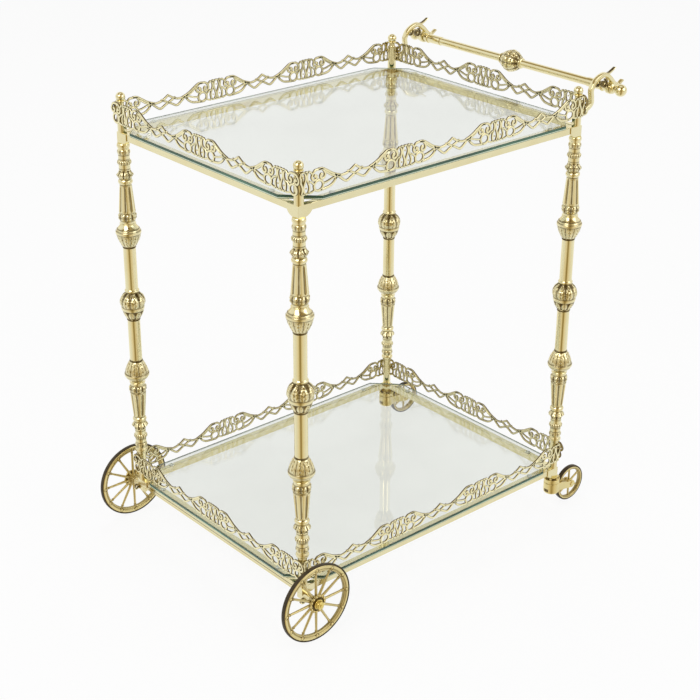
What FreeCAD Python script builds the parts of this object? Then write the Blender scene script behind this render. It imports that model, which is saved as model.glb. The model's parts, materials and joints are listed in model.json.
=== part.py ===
import FreeCAD, Part
import math
import os
from FreeCAD import Vector

# Two-tier serving trolley: four turned legs, two rail frames, two glass shelves with
# pierced galleries, a push handle, two spoked wheels and two swivel casters.
# Millimetres. X runs along the trolley with the handle at +X, Y across it, Z up.
# The floor is z = 0 and the origin is the bottom centre of the whole trolley's box.
# "Front" is the wheel end (-X), "rear" the handle end (+X), "left" is -Y.

# ---- Plan: the posts stand where the gallery's pattern repeats ----
pattern_period = 190.0
scroll_offset = 28.0
side_repeat_count = 3
end_repeat_count = 2
post_x = side_repeat_count * pattern_period / 2
post_y = (end_repeat_count * pattern_period + 2 * scroll_offset) / 2

# ---- General clearances ----
running_clearance = 0.05
bore_clearance = 0.3
body_gap = 0.4

# ---- Big wheels and their axle ----
wheel_radius = 66.0
wheel_offset = 32.0
wheel_width = 7.0
tyre_thickness = 3.0
rim_depth = 8.5
spoke_count = 12
spoke_root_radius = 2.4
spoke_tip_radius = 1.9
rim_boss_radius = 3.0
hub_radius = 8.0
hub_inner_length = 10.0
hub_outer_length = 5.5
hub_flange_radius = 15.0
hub_flange_thickness = 3.0
axle_radius = 3.0
axle_nut_radius = 5.5
axle_nut_thickness = 4.0
axle_end_reach = 0.8
cap_radius = 9.0
cap_wall = 1.4
cap_crown = 4.0
cap_tip_radius = 1.6

# ---- Axle brackets under the front blocks ----
bracket_roof = 1.0
bracket_boss_radius = 6.5
bracket_drop = 10.0

# ---- Rails ----
rail_width = 10.0
rail_height = 11.0
rail_wall = 1.2
rail_edge_radius = 1.0

# ---- Corner blocks ----
block_reach = 6.0
ear_thickness = 1.5
ear_length = 25.0
ear_straight_height = 10.0
ear_hollow = 0.12
block_foot = 7.0

# ---- Glass shelves on clear pads ----
glass_thickness = 5.0
glass_overhang = 7.3
glass_corner_cut = 40.0
glass_edge_radius = 0.8
pad_radius = 4.5
pad_thickness = 1.5
pad_from_post = 60.0

# ---- Leg stack, from the lower rail upward ----
lower_post_length = 54.0
baluster_length = 176.0
leg_tube_length = 72.0
leg_ball_length = 56.0
gallery_post_length = 41.0
post_radius = 7.3
leg_tube_radius = 10.4
leg_tube_wall = 1.5
tie_rod_radius = 2.5
tie_rod_seat = 11.0

# ---- Baluster casting: heights from its tube end, depths from its block end, and radii ----
end_ring_height = 6.0
end_ring_radius = 11.5
bud_foot_radius = 10.4
bud_widest_at = 31.0
bud_radius = 20.3
bud_top_at = 41.0
bud_side_swell = 2.5
bud_top_swell = 2.0
end_ring_step = 1.5
neck_radius = 12.0
bead_from = 47.5
bead_to = 60.0
bead_radius = 15.0
bead_core_radius = 12.6
flute_from = 61.5
flute_foot_radius = 13.5
flute_top_depth = 72.0
flute_top_radius = 10.0
collar_foot_depth = 68.0
collar_top_depth = 59.0
collar_radius = 11.7
waist_radius = 9.4
ogee_depth = 52.0
ogee_radius = 13.7
ogee_top_depth = 43.0
ogee_hollow = 1.2
ring_core_radius = 9.2
third_ring_depth = 31.3
third_ring_radius = 11.4
second_ring_depth = 14.1
small_ring_radius = 10.5
ring_height = 8.0

# ---- Ball castings on the legs and on the handle ----
ball_radius = 20.3
ball_ring_height = 5.0
handle_ball_length = 50.0
handle_ball_radius = 18.5
handle_ring_radius = 9.6

# ---- Finial ----
finial_ball_radius = 7.7
finial_disc_radius = 7.6
finial_disc_height = 2.2
finial_neck_height = 7.5
finial_neck_radius = 5.0
finial_ball_overlap = 2.4

# ---- Pierced gallery strips ----
gallery_height = 36.5
gallery_thickness = 2.5
gallery_above_glass = 5.5
gallery_stand_off = 0.2
gallery_butt_gap = 0.2
end_strip_overrun = 17.6
strand_slot_width = 3.6
strand_slot_spacing = 7.4
strand_slot_height = 25.0
scroll_half_width = 14.0
upper_eye_radius = 7.6
lower_eye_radius = 7.0
cross_at = 61.0
cross_height = 17.0
valley_height = 25.0
diamond_centre_height = 16.0
diamond_half_width = 10.5
diamond_half_height = 9.0
diamond_spacing = 27.0
gallery_web = 2.4

# ---- Handle ----
handle_out = 77.0
handle_above_rail = 47.0
handle_tube_radius = 6.6
handle_tube_wall = 1.2
handle_tube_end = 172.0
handle_sleeve_radius = 7.5
handle_sleeve_length = 29.0
handle_collar_radius = 8.8
handle_collar_width = 3.0
handle_journal_radius = 6.8
handle_neck_radius = 5.2
handle_neck_length = 6.0
handle_knob_radius = 10.0
arm_thickness = 8.0
arm_width = 7.5
arm_eye_wall = 3.0
arm_tip_out = 30.0
arm_tip_width = 1.6
arm_drop = 23.0
arm_rise = 24.0
leaf_rise = 33.0

# ---- Casters ----
caster_wheel_radius = 33.0
caster_trail = 46.0
caster_tyre_thickness = 3.0
caster_wheel_width = 8.0
caster_rim_depth = 5.0
caster_spoke_count = 6
caster_spoke_radius = 1.7
caster_hub_radius = 6.0
caster_hub_length = 9.0
caster_pin_radius = 2.5
caster_pin_head_radius = 4.2
caster_pin_head_height = 1.4
fork_gap = 11.4
fork_thickness = 3.0
fork_eye_radius = 6.8
hood_radius = 14.0
hood_height = 20.5
hood_lip = 1.2
hood_foot_round = 4.0
fork_slot_clearance = 2.0
collar_height = 11.0
collar_neck_height = 3.5
collar_neck_radius = 11.0
stem_radius = 4.0
stem_depth = 15.0
stem_seat = 5.0

# ---- Heights that follow from the sizes above ----
lower_rail_bottom = wheel_radius + axle_radius + bracket_roof
lower_rail_top = lower_rail_bottom + rail_height
lower_baluster_bottom = lower_rail_top + lower_post_length
lower_tube_bottom = lower_baluster_bottom + baluster_length
ball_bottom = lower_tube_bottom + leg_tube_length
upper_tube_bottom = ball_bottom + leg_ball_length
upper_baluster_bottom = upper_tube_bottom + leg_tube_length
upper_block_bottom = upper_baluster_bottom + baluster_length
upper_rail_bottom = upper_block_bottom + block_foot
upper_rail_top = upper_rail_bottom + rail_height
finial_bottom = upper_rail_top + gallery_post_length
handle_z = upper_rail_top + handle_above_rail
block_outer = rail_width / 2 + ear_thickness
rear_block_bottom = lower_rail_bottom - block_foot
gallery_inner = max(post_radius, finial_disc_radius) + gallery_stand_off
gallery_middle = gallery_inner + gallery_thickness / 2
gallery_outer = gallery_inner + gallery_thickness

# The trolley reaches from the front wheels' treads to the tips of the handle arms.
reach_front = post_x + wheel_radius
reach_rear = post_x + handle_out + arm_tip_out
origin_shift = (reach_front - reach_rear) / 2

CORNERS = {
    "front_left": (-1, -1),
    "front_right": (-1, 1),
    "rear_left": (1, -1),
    "rear_right": (1, 1),
}
SIDES = {"left": -1, "right": 1}

X_AXIS = Vector(1, 0, 0)
Y_AXIS = Vector(0, 1, 0)
Z_AXIS = Vector(0, 0, 1)
ORIGIN = Vector(0, 0, 0)


# ---- Helpers ----

def box(x0, x1, y0, y1, z0, z1):
    """Box between two opposite corners."""
    return Part.makeBox(x1 - x0, y1 - y0, z1 - z0, Vector(x0, y0, z0))


def rod(radius, start, end):
    """Round bar from one point to another."""
    along = end - start
    return Part.makeCylinder(radius, along.Length, start, along)


def turned(stations):
    """Solid of revolution about Z.

    Each station is (height, radius, swell): the outline runs from station to station,
    and swell is how far that stretch bows outward (or inward, if negative) at its middle.
    """
    edges = []
    first = Vector(stations[0][1], 0, stations[0][0])
    start = first
    for height, radius, swell in stations[1:]:
        end = Vector(radius, 0, height)
        if swell:
            along = (end - start).normalize()
            middle = (start + end) * 0.5 + Vector(along.z, 0, -along.x) * swell
            edges.append(Part.Arc(start, middle, end).toShape())
        else:
            edges.append(Part.LineSegment(start, end).toShape())
        start = end
    top = Vector(0, 0, start.z)
    bottom = Vector(0, 0, first.z)
    if start.x > 0:
        edges.append(Part.LineSegment(start, top).toShape())
    edges.append(Part.LineSegment(top, bottom).toShape())
    if first.x > 0:
        edges.append(Part.LineSegment(bottom, first).toShape())
    return Part.Face(Part.Wire(edges)).revolve(ORIGIN, Z_AXIS, 360)


def ring(inner, outer, width, edge):
    """Flat ring about Z, centred on z = 0, with its outer edges bevelled."""
    body = turned([(-width / 2, outer - edge, 0), (edge - width / 2, outer, 0),
                   (width / 2 - edge, outer, 0), (width / 2, outer - edge, 0)])
    return body.cut(Part.makeCylinder(inner, 2 * width, Vector(0, 0, -width)))


def bored(solid, radius, bottom, top):
    """The solid with a round hole along Z between two heights."""
    return solid.cut(Part.makeCylinder(radius, top - bottom, Vector(0, 0, bottom)))


def polygon_plate(points, thickness):
    """Plate in the XZ plane, given by (x, z) corners, centred on y = 0."""
    corners = [Vector(x, -thickness / 2, z) for x, z in points]
    face = Part.Face(Part.makePolygon(corners + corners[:1]))
    return face.extrude(Vector(0, thickness, 0))


def at_corner(shape, corner):
    """Mirror a shape made for the front left corner and carry it to another corner."""
    side_x, side_y = CORNERS[corner]
    placed = shape.copy()
    if side_x > 0:
        placed = placed.mirror(ORIGIN, X_AXIS)
    if side_y > 0:
        placed = placed.mirror(ORIGIN, Y_AXIS)
    placed.translate(Vector(side_x * post_x, side_y * post_y, 0))
    return placed


def across(shape, side):
    """Lay a shape made along Z on its side, so that its top points outward on Y."""
    laid = shape.copy()
    laid.rotate(ORIGIN, X_AXIS, -90 * side)
    return laid


def lifted(shape, height):
    """A copy of the shape, raised."""
    raised = shape.copy()
    raised.translate(Vector(0, 0, height))
    return raised


def export(name, *solids):
    """Write one node, a single solid or a group of separate solids."""
    shape = solids[0] if len(solids) == 1 else Part.makeCompound(list(solids))
    shape = shape.copy()
    shape.translate(Vector(origin_shift, 0, 0))
    shape.exportStep("parts/" + name + ".step")
    print(name, len(shape.Solids), round(shape.Volume / 1000, 2), "cm3")


# ---- Legs ----

def baluster():
    """Leg casting: end ring, cup-shaped bud, beads, fluted taper, ogee and three rings."""
    top = baluster_length
    half_ring = ring_height / 2
    third_foot = top - third_ring_depth - half_ring
    third_top = top - third_ring_depth + half_ring
    second_foot = top - second_ring_depth - half_ring
    second_top = top - second_ring_depth + half_ring
    bead_swell = bead_radius - bead_core_radius
    collar_swell = collar_radius - waist_radius
    small_swell = small_ring_radius - ring_core_radius
    stations = [
        (0, leg_tube_radius, 0),
        (end_ring_height, leg_tube_radius, end_ring_radius - leg_tube_radius),
        (end_ring_height + end_ring_step, bud_foot_radius, 0),
        (bud_widest_at, bud_radius, bud_side_swell),
        (bud_top_at, neck_radius, bud_top_swell),
        (bead_from, bead_core_radius, 0),
        (bead_to, bead_core_radius, bead_swell),
        (flute_from, flute_foot_radius, 0),
        (top - flute_top_depth, flute_top_radius, 0),
        (top - collar_foot_depth, waist_radius, 0),
        (top - collar_top_depth, waist_radius, collar_swell),
        (top - ogee_depth, ogee_radius, 0),
        (top - ogee_top_depth, ring_core_radius, -ogee_hollow),
        (third_foot, ring_core_radius, 0),
        (third_top, ring_core_radius, third_ring_radius - ring_core_radius),
        (second_foot, ring_core_radius, 0),
        (second_top, ring_core_radius, small_swell),
        (top - ring_height, ring_core_radius, 0),
        (top, ring_core_radius, small_swell),
    ]
    return bored(turned(stations), tie_rod_radius + bore_clearance, -1, top + 1)


def ball_casting(length, ball, ring_radius, tube_radius):
    """Ball between two end rings, with the tie rod's bore through it."""
    foot = length / 2 - ball_ring_height
    middle = [
        (-foot, tube_radius, ring_radius - tube_radius),
        (0, ball, ball * 0.19),
        (foot, tube_radius, ball * 0.19),
    ]
    stations = [(-length / 2, tube_radius, 0)] + middle
    stations += [(length / 2, tube_radius, ring_radius - tube_radius)]
    return bored(turned(stations), tie_rod_radius + bore_clearance, -length, length)


def leg_tube():
    """Plain tube between a baluster and the leg's ball."""
    body = Part.makeCylinder(leg_tube_radius, leg_tube_length)
    return bored(body, leg_tube_radius - leg_tube_wall, -1, leg_tube_length + 1)


def slim_post(length):
    """Plain slim post that passes a gallery."""
    body = Part.makeCylinder(post_radius, length)
    return bored(body, tie_rod_radius + bore_clearance, -1, length + 1)


def finial():
    """Ball on a disc and a hollowed neck, screwed on the tie rod's top."""
    disc_top = finial_neck_height + finial_disc_height
    ball_centre = disc_top - finial_ball_overlap + finial_ball_radius
    stations = [
        (0, post_radius, 0),
        (finial_neck_height * 0.55, finial_neck_radius, -0.8),
        (finial_neck_height, finial_disc_radius - 1, -0.8),
        (disc_top, finial_disc_radius - 1, 1),
    ]
    ball = Part.makeSphere(finial_ball_radius, Vector(0, 0, ball_centre))
    body = turned(stations).fuse(ball).removeSplitter()
    return bored(body, tie_rod_radius + running_clearance, -1, tie_rod_seat + bore_clearance)


def ear_plate(height, foot):
    """Face plate of a corner block over one rail's end, in the XZ plane.

    It covers the rail's height, and its lower edge curves back to the block's foot.
    """
    tip = ear_length - block_outer
    drop = height - ear_straight_height
    corners = [Vector(block_reach, 0, -foot), Vector(-block_outer, 0, -foot),
               Vector(-block_outer, 0, height), Vector(tip, 0, height), Vector(tip, 0, drop)]
    edges = [Part.LineSegment(a, b).toShape() for a, b in zip(corners, corners[1:])]
    along = corners[0] - corners[-1]
    sag = Vector(-along.z, 0, along.x) * ear_hollow
    middle = (corners[0] + corners[-1]) * 0.5 + sag
    edges.append(Part.Arc(corners[-1], middle, corners[0]).toShape())
    return Part.Face(Part.Wire(edges)).extrude(Vector(0, ear_thickness, 0))


def corner_block(rail_bottom, foot, bore_bottom, bore_top, bore):
    """Corner casting: core under the post, and a plate over each of two rail ends."""
    bottom = rail_bottom - foot
    top = rail_bottom + rail_height
    core = box(-block_outer, block_reach, -block_outer, block_reach, bottom, top)
    plate = ear_plate(rail_height, foot)
    plate.translate(Vector(0, -block_outer, rail_bottom))
    turned_plate = plate.mirror(ORIGIN, Vector(1, -1, 0))
    body = core.fuse([plate, turned_plate]).removeSplitter()
    return bored(body, bore, bore_bottom, bore_top)


def make_legs():
    """All four legs, piece by piece."""
    rod_bottom = lower_rail_bottom + 1
    rod_top = finial_bottom + tie_rod_seat
    cast = baluster()
    cast_down = cast.mirror(ORIGIN, Z_AXIS)
    ball = ball_casting(leg_ball_length, ball_radius, end_ring_radius, leg_tube_radius)
    groups = {"leg_balls": [], "leg_tubes": [], "gallery_posts": [], "finials": [], "rods": []}
    upper = corner_block(upper_rail_bottom, block_foot, upper_block_bottom - 1,
                         upper_rail_top + 1, tie_rod_radius + bore_clearance)
    for corner, (side_x, side_y) in CORNERS.items():
        foot = block_foot if side_x > 0 else 0
        lower = corner_block(lower_rail_bottom, foot, rod_bottom, lower_rail_top + 1,
                             tie_rod_radius + running_clearance)
        if side_x > 0:
            lower = bored(lower, stem_radius + running_clearance, rear_block_bottom - 1,
                          rear_block_bottom + stem_seat)
        export("upper_block_" + corner, at_corner(upper, corner))
        export("lower_block_" + corner, at_corner(lower, corner))
        export("upper_baluster_" + corner, at_corner(lifted(cast, upper_baluster_bottom), corner))
        export("lower_baluster_" + corner, at_corner(lifted(cast_down, lower_tube_bottom), corner))
        place = Vector(side_x * post_x, side_y * post_y, 0)
        pieces = (
            ("leg_balls", ball, ball_bottom + leg_ball_length / 2),
            ("leg_tubes", leg_tube(), lower_tube_bottom),
            ("leg_tubes", leg_tube(), upper_tube_bottom),
            ("gallery_posts", slim_post(lower_post_length), lower_rail_top),
            ("gallery_posts", slim_post(gallery_post_length), upper_rail_top),
            ("finials", finial(), finial_bottom),
            ("rods", Part.makeCylinder(tie_rod_radius, rod_top - rod_bottom), rod_bottom),
        )
        for name, shape, height in pieces:
            piece = lifted(shape, height)
            piece.translate(place)
            groups[name].append(piece)
    rods = groups.pop("rods")
    for name, solids in groups.items():
        export(name, *solids)
    return rods


# ---- Rails, glass and pads ----

def rail(length):
    """Hollow rail along X, centred, standing on z = 0."""
    outer = box(-length / 2, length / 2, -rail_width / 2, rail_width / 2, 0, rail_height)
    long_edges = [edge for edge in outer.Edges if abs(edge.tangentAt(0).x) > 0.99]
    outer = outer.makeFillet(rail_edge_radius, long_edges)
    inner = box(-length, length, rail_wall - rail_width / 2, rail_width / 2 - rail_wall,
                rail_wall, rail_height - rail_wall)
    return outer.cut(inner)


def make_rails(tier, bottom):
    """Four rails of one tier, butted against the blocks' cores."""
    side_rail = rail(2 * (post_x - block_reach))
    end_rail = rail(2 * (post_y - block_reach))
    end_rail.rotate(ORIGIN, Z_AXIS, 90)
    for name, side in SIDES.items():
        piece = lifted(side_rail, bottom)
        piece.translate(Vector(0, side * post_y, 0))
        export(tier + "_rail_" + name, piece)
    for name, side in (("front", -1), ("rear", 1)):
        piece = lifted(end_rail, bottom)
        piece.translate(Vector(side * post_x, 0, 0))
        export(tier + "_rail_" + name, piece)


def glass_shelf(rail_top):
    """Glass sheet with its four corners cut off and its edges eased."""
    half_x = post_x + glass_overhang
    half_y = post_y + glass_overhang
    cut_x = half_x - glass_corner_cut
    cut_y = half_y - glass_corner_cut
    bottom = rail_top + pad_thickness
    outline = [(half_x, cut_y), (cut_x, half_y), (-cut_x, half_y), (-half_x, cut_y),
               (-half_x, -cut_y), (-cut_x, -half_y), (cut_x, -half_y), (half_x, -cut_y)]
    corners = [Vector(x, y, bottom) for x, y in outline]
    sheet = Part.Face(Part.makePolygon(corners + corners[:1])).extrude(Z_AXIS * glass_thickness)
    flat = [edge for edge in sheet.Edges if abs(edge.tangentAt(0).z) < 0.01]
    return sheet.makeFillet(glass_edge_radius, flat)


def pads(rail_top):
    """Eight clear pads of one tier, two near the ends of each rail."""
    along_x = post_x - pad_from_post
    along_y = post_y - pad_from_post
    places = [(sx * along_x, sy * post_y) for sx, sy in CORNERS.values()]
    places += [(sx * post_x, sy * along_y) for sx, sy in CORNERS.values()]
    return [Part.makeCylinder(pad_radius, pad_thickness, Vector(x, y, rail_top)) for x, y in places]


# ---- Galleries ----

def strip_edge(positions, low, high, step):
    """Heights of a wavy edge: high over each scroll, low over the lattice."""
    heights = []
    for u in positions:
        along = abs((u + pattern_period / 2) % pattern_period - pattern_period / 2)
        if along <= scroll_offset + step:
            heights.append(high)
        elif along >= cross_at:
            heights.append(low)
        else:
            share = (along - scroll_offset - step) / (cross_at - scroll_offset - step)
            heights.append(high + (low - high) * (1 - math.cos(math.pi * share)) / 2)
    return heights


def strip_openings(start, end):
    """Outlines, as wires in the XZ plane, of the holes that lie inside the strip's ends."""
    wires = []

    def circle(u, height, radius):
        if start + gallery_web < u - radius and u + radius < end - gallery_web:
            curve = Part.Circle(Vector(u, 0, height), Y_AXIS, radius)
            wires.append(Part.Wire(curve.toShape()))

    def polygon(points):
        inside = [start + gallery_web < u < end - gallery_web for u, _ in points]
        if all(inside):
            corners = [Vector(u, 0, height) for u, height in points]
            wires.append(Part.makePolygon(corners + corners[:1]))

    first = math.floor(start / pattern_period) - 1
    last = math.ceil(end / pattern_period) + 1
    for count in range(first, last + 1):
        centre = count * pattern_period
        slot = strand_slot_width / 2
        low = gallery_height / 2 - strand_slot_height / 2
        high = gallery_height / 2 + strand_slot_height / 2
        for shift in (-strand_slot_spacing, 0, strand_slot_spacing):
            u = centre + shift
            polygon([(u - slot, low), (u + slot, low), (u + slot, high), (u - slot, high)])
        for side in (-1, 1):
            scroll = centre + side * scroll_offset
            circle(scroll, gallery_height - gallery_web - upper_eye_radius, upper_eye_radius)
            circle(scroll, gallery_web + lower_eye_radius, lower_eye_radius)
            cross = centre + side * cross_at
            near = centre + side * (scroll_offset + scroll_half_width - 1)
            reach = (cross_height - 2 * gallery_web) * 0.55
            polygon([(near, cross_height - reach), (cross - side * gallery_web, cross_height),
                     (near, cross_height + reach)])
        lattice = centre + pattern_period / 2
        for shift in (-diamond_spacing / 2, diamond_spacing / 2):
            u = lattice + shift
            polygon([(u - diamond_half_width, diamond_centre_height),
                     (u, diamond_centre_height - diamond_half_height),
                     (u + diamond_half_width, diamond_centre_height),
                     (u, diamond_centre_height + diamond_half_height)])
    return wires


def gallery_strip(start, end):
    """Pierced strip along X from u = start to u = end, where u = 0 is a pattern centre.

    The outline is wavy: full height over the scrolls, lower over the crosses and diamonds.
    """
    step = scroll_half_width - 1
    marks = [start, end]
    first = math.floor(start / pattern_period) - 1
    last = math.ceil(end / pattern_period) + 1
    slope = cross_at - scroll_offset - step
    for count in range(first, last + 1):
        for side in (-1, 1):
            for share in (0, 0.25, 0.5, 0.75, 1):
                along = scroll_offset + step + slope * share
                marks.append(count * pattern_period + side * along)
    marks = sorted(u for u in marks if start <= u <= end)
    dip = diamond_centre_height - diamond_half_height - gallery_web
    top = strip_edge(marks, valley_height + gallery_web, gallery_height, step)
    bottom = strip_edge(marks, dip, 0, step)
    outline = [Vector(u, 0, height) for u, height in zip(marks, bottom)]
    outline += [Vector(u, 0, height) for u, height in reversed(list(zip(marks, top)))]
    outer = Part.makePolygon(outline + outline[:1])
    sheet = Part.Face(outer).extrude(Vector(0, gallery_thickness, 0))
    across_strip = Vector(0, gallery_thickness, 0)
    holes = [Part.Face(wire).extrude(across_strip) for wire in strip_openings(start, end)]
    sheet = sheet.cut(holes)
    sheet.translate(Vector(0, -gallery_thickness / 2, 0))
    return sheet


def make_gallery(tier, rail_top):
    """Strips along the posts' outer faces: the side strips butt against the end strips."""
    base = rail_top + pad_thickness + glass_thickness + gallery_above_glass
    beyond = gallery_inner - gallery_butt_gap
    side_strip = gallery_strip(-beyond, 2 * post_x + beyond)
    side_strip.translate(Vector(-post_x, 0, base))
    sides = []
    for side in SIDES.values():
        piece = side_strip.copy()
        piece.translate(Vector(0, side * (post_y + gallery_middle), 0))
        sides.append(piece)
    export(tier + "_gallery_sides", *sides)
    reach = post_y + end_strip_overrun
    first_centre = scroll_offset - post_y
    end_strip = gallery_strip(-reach - first_centre, reach - first_centre)
    end_strip.translate(Vector(first_centre, 0, base))
    end_strip.rotate(ORIGIN, Z_AXIS, 90)
    ends = []
    for side in (-1, 1):
        piece = end_strip.copy()
        piece.translate(Vector(side * (post_x + gallery_middle), 0, 0))
        ends.append(piece)
    export(tier + "_gallery_ends", *ends)


# ---- Handle ----

def band(points):
    """Flat band along a smooth line in the XZ plane: points are (x, z, width)."""
    centres = [Vector(x, 0, z) for x, z, _ in points]
    left, right = [], []
    for index, centre in enumerate(centres):
        before = centres[max(index - 1, 0)]
        after = centres[min(index + 1, len(centres) - 1)]
        along = (after - before).normalize()
        aside = Vector(-along.z, 0, along.x) * (points[index][2] / 2)
        left.append(centre + aside)
        right.append(centre - aside)
    sides = []
    for line in (left, right[::-1]):
        curve = Part.BSplineCurve()
        curve.interpolate(line)
        sides.append(curve.toShape())
    ends = [Part.LineSegment(left[-1], right[-1]).toShape(),
            Part.LineSegment(right[0], left[0]).toShape()]
    face = Part.Face(Part.Wire([sides[0], ends[0], sides[1], ends[1]]))
    solid = face.extrude(Vector(0, arm_thickness, 0))
    solid.translate(Vector(0, -arm_thickness / 2, 0))
    return solid


def handle_arm():
    """Scrolled arm in the XZ plane, from the gallery's end strip over and round the bar.

    x is measured from the post's axis and z from the bar's axis.
    """
    out = handle_out
    foot = gallery_outer
    wide = arm_width
    curve = [
        (foot, -arm_drop, 1.25 * wide),
        (foot + 0.12 * out, -1.11 * arm_drop, 1.05 * wide),
        (0.41 * out, -0.78 * arm_drop, wide),
        (0.41 * out, -0.30 * arm_drop, wide),
        (0.38 * out, 0.17 * arm_rise, wide),
        (0.47 * out, 0.65 * arm_rise, wide),
        (0.65 * out, 0.96 * arm_rise, wide),
        (0.81 * out, arm_rise, wide),
        (0.96 * out, 0.69 * arm_rise, wide),
        (out + 0.27 * arm_tip_out, 0.27 * arm_rise, wide),
        (out + 0.60 * arm_tip_out, 0.10 * arm_rise, 0.7 * wide),
        (out + arm_tip_out - 0.3 * arm_tip_width, 0.35 * arm_rise, arm_tip_width),
    ]
    leaf = [
        (0.80 * out, 0.96 * arm_rise, 0.6 * wide),
        (0.97 * out, 1.12 * arm_rise, 0.55 * wide),
        (out + 0.25 * arm_tip_out, leaf_rise - 0.3 * arm_tip_width, arm_tip_width),
    ]
    eye = Part.makeCylinder(handle_journal_radius + arm_eye_wall, arm_thickness,
                            Vector(out, -arm_thickness / 2, 0), Y_AXIS)
    hole = Part.makeCylinder(handle_journal_radius + running_clearance, 2 * arm_thickness,
                             Vector(out, -arm_thickness, 0), Y_AXIS)
    wall = box(0, foot, -arm_thickness, arm_thickness, -2 * arm_drop, 0)
    body = band(curve).fuse([band(leaf), eye]).cut(hole).cut(wall)
    return body.removeSplitter()


def handle_end():
    """End casting of the bar, along Z: sleeve, collar, journal, collar, neck and knob."""
    sleeve_end = handle_sleeve_length
    journal_end = post_y - handle_tube_end + arm_thickness / 2 + 0.5
    outer_end = journal_end + handle_collar_width
    knob_foot = outer_end + handle_neck_length
    swell = handle_collar_radius - handle_journal_radius
    stations = [
        (0, handle_sleeve_radius, 0),
        (sleeve_end, handle_sleeve_radius, 0),
        (sleeve_end + 1, handle_journal_radius, 0),
        (sleeve_end + 1 + handle_collar_width, handle_journal_radius, swell),
        (journal_end, handle_journal_radius, 0),
        (outer_end, handle_journal_radius, swell),
        (outer_end + 1, handle_neck_radius, 0),
        (knob_foot, handle_neck_radius, 0),
    ]
    centre = knob_foot + handle_knob_radius * 0.85
    knob = Part.makeSphere(handle_knob_radius, Vector(0, 0, centre))
    body = turned(stations).fuse(knob).removeSplitter()
    return bored(body, tie_rod_radius + running_clearance, -1, knob_foot)


def make_handle():
    """Push handle: two tubes, a ball between them, two end castings and two arms."""
    centre = Vector(post_x + handle_out, 0, handle_z)
    ball = across(ball_casting(handle_ball_length, handle_ball_radius, handle_ring_radius,
                               handle_tube_radius), 1)
    ball.translate(centre)
    export("handle_ball", ball)
    tube_start = handle_ball_length / 2
    tube_length = handle_tube_end - tube_start
    tubes = []
    for name, side in SIDES.items():
        tube = Part.makeCylinder(handle_tube_radius, tube_length, Vector(0, 0, tube_start))
        tube = bored(tube, handle_tube_radius - handle_tube_wall, 0, handle_tube_end + 1)
        tube = across(tube, side)
        tube.translate(centre)
        tubes.append(tube)
        end = across(lifted(handle_end(), handle_tube_end), side)
        end.translate(centre)
        export("handle_end_" + name, end)
        arm = handle_arm()
        arm.translate(Vector(post_x, side * post_y, handle_z))
        export("handle_arm_" + name, arm)
    export("handle_tubes", *tubes)
    rod_end = post_y + arm_thickness
    return rod(tie_rod_radius, centre - Y_AXIS * rod_end, centre + Y_AXIS * rod_end)


# ---- Big wheels ----

def spoked_wheel():
    """Cast wheel about Z, its outer face up: hub, flange, spokes, rim and rim bosses."""
    rim_outer = wheel_radius - tyre_thickness
    rim_inner = rim_outer - rim_depth
    hub = Part.makeCylinder(hub_radius, hub_inner_length + hub_outer_length,
                            Vector(0, 0, -hub_inner_length))
    flange_edge = hub_flange_radius - hub_flange_thickness / 2
    flange = turned([(hub_outer_length - hub_flange_thickness, flange_edge, 0),
                     (hub_outer_length, flange_edge, hub_flange_thickness / 2)])
    pieces = [flange, ring(rim_inner, rim_outer, wheel_width, 1.0)]
    spoke_length = rim_inner + 1.5 - hub_radius / 2
    for count in range(spoke_count):
        angle = 2 * math.pi * count / spoke_count
        out = Vector(math.cos(angle), math.sin(angle), 0)
        pieces.append(Part.makeCone(spoke_root_radius, spoke_tip_radius, spoke_length,
                                    out * (hub_radius / 2), out))
        pieces.append(Part.makeSphere(rim_boss_radius, out * (rim_inner + 1)))
    body = hub.fuse(pieces).removeSplitter()
    return bored(body, axle_radius + running_clearance, -2 * hub_inner_length,
                 2 * hub_outer_length)


def hub_cap():
    """Domed cap on the hub's outer face, hollow over the axle's nut."""
    inside = axle_nut_thickness + axle_end_reach + 2 * body_gap
    shoulder = inside + cap_wall - cap_crown * 0.5
    dome = turned([(0, cap_radius, 0), (shoulder, cap_radius, 0),
                   (shoulder + cap_crown, cap_tip_radius, cap_radius * 0.15)])
    return bored(dome, cap_radius - cap_wall, -1, inside)


def axle_bracket():
    """Casting under a front block: rounded body and an outward boss round the axle."""
    reach = wheel_offset - hub_inner_length - body_gap
    low = wheel_radius - bracket_drop
    radius = (block_outer + block_reach) / 2
    middle = (block_reach - block_outer) / 2
    upper = box(-block_outer, block_reach, -block_outer, block_reach, low + radius,
                lower_rail_bottom)
    lower = rod(radius, Vector(middle, -block_outer, low + radius),
                Vector(middle, block_reach, low + radius))
    boss = rod(bracket_boss_radius, Vector(0, -block_outer + 0.01, wheel_radius),
               Vector(0, -reach, wheel_radius))
    body = upper.fuse([lower, boss]).removeSplitter()
    hole = rod(axle_radius + running_clearance, Vector(0, -reach - 1, wheel_radius),
               Vector(0, block_reach + 1, wheel_radius))
    return body.cut(hole)


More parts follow.
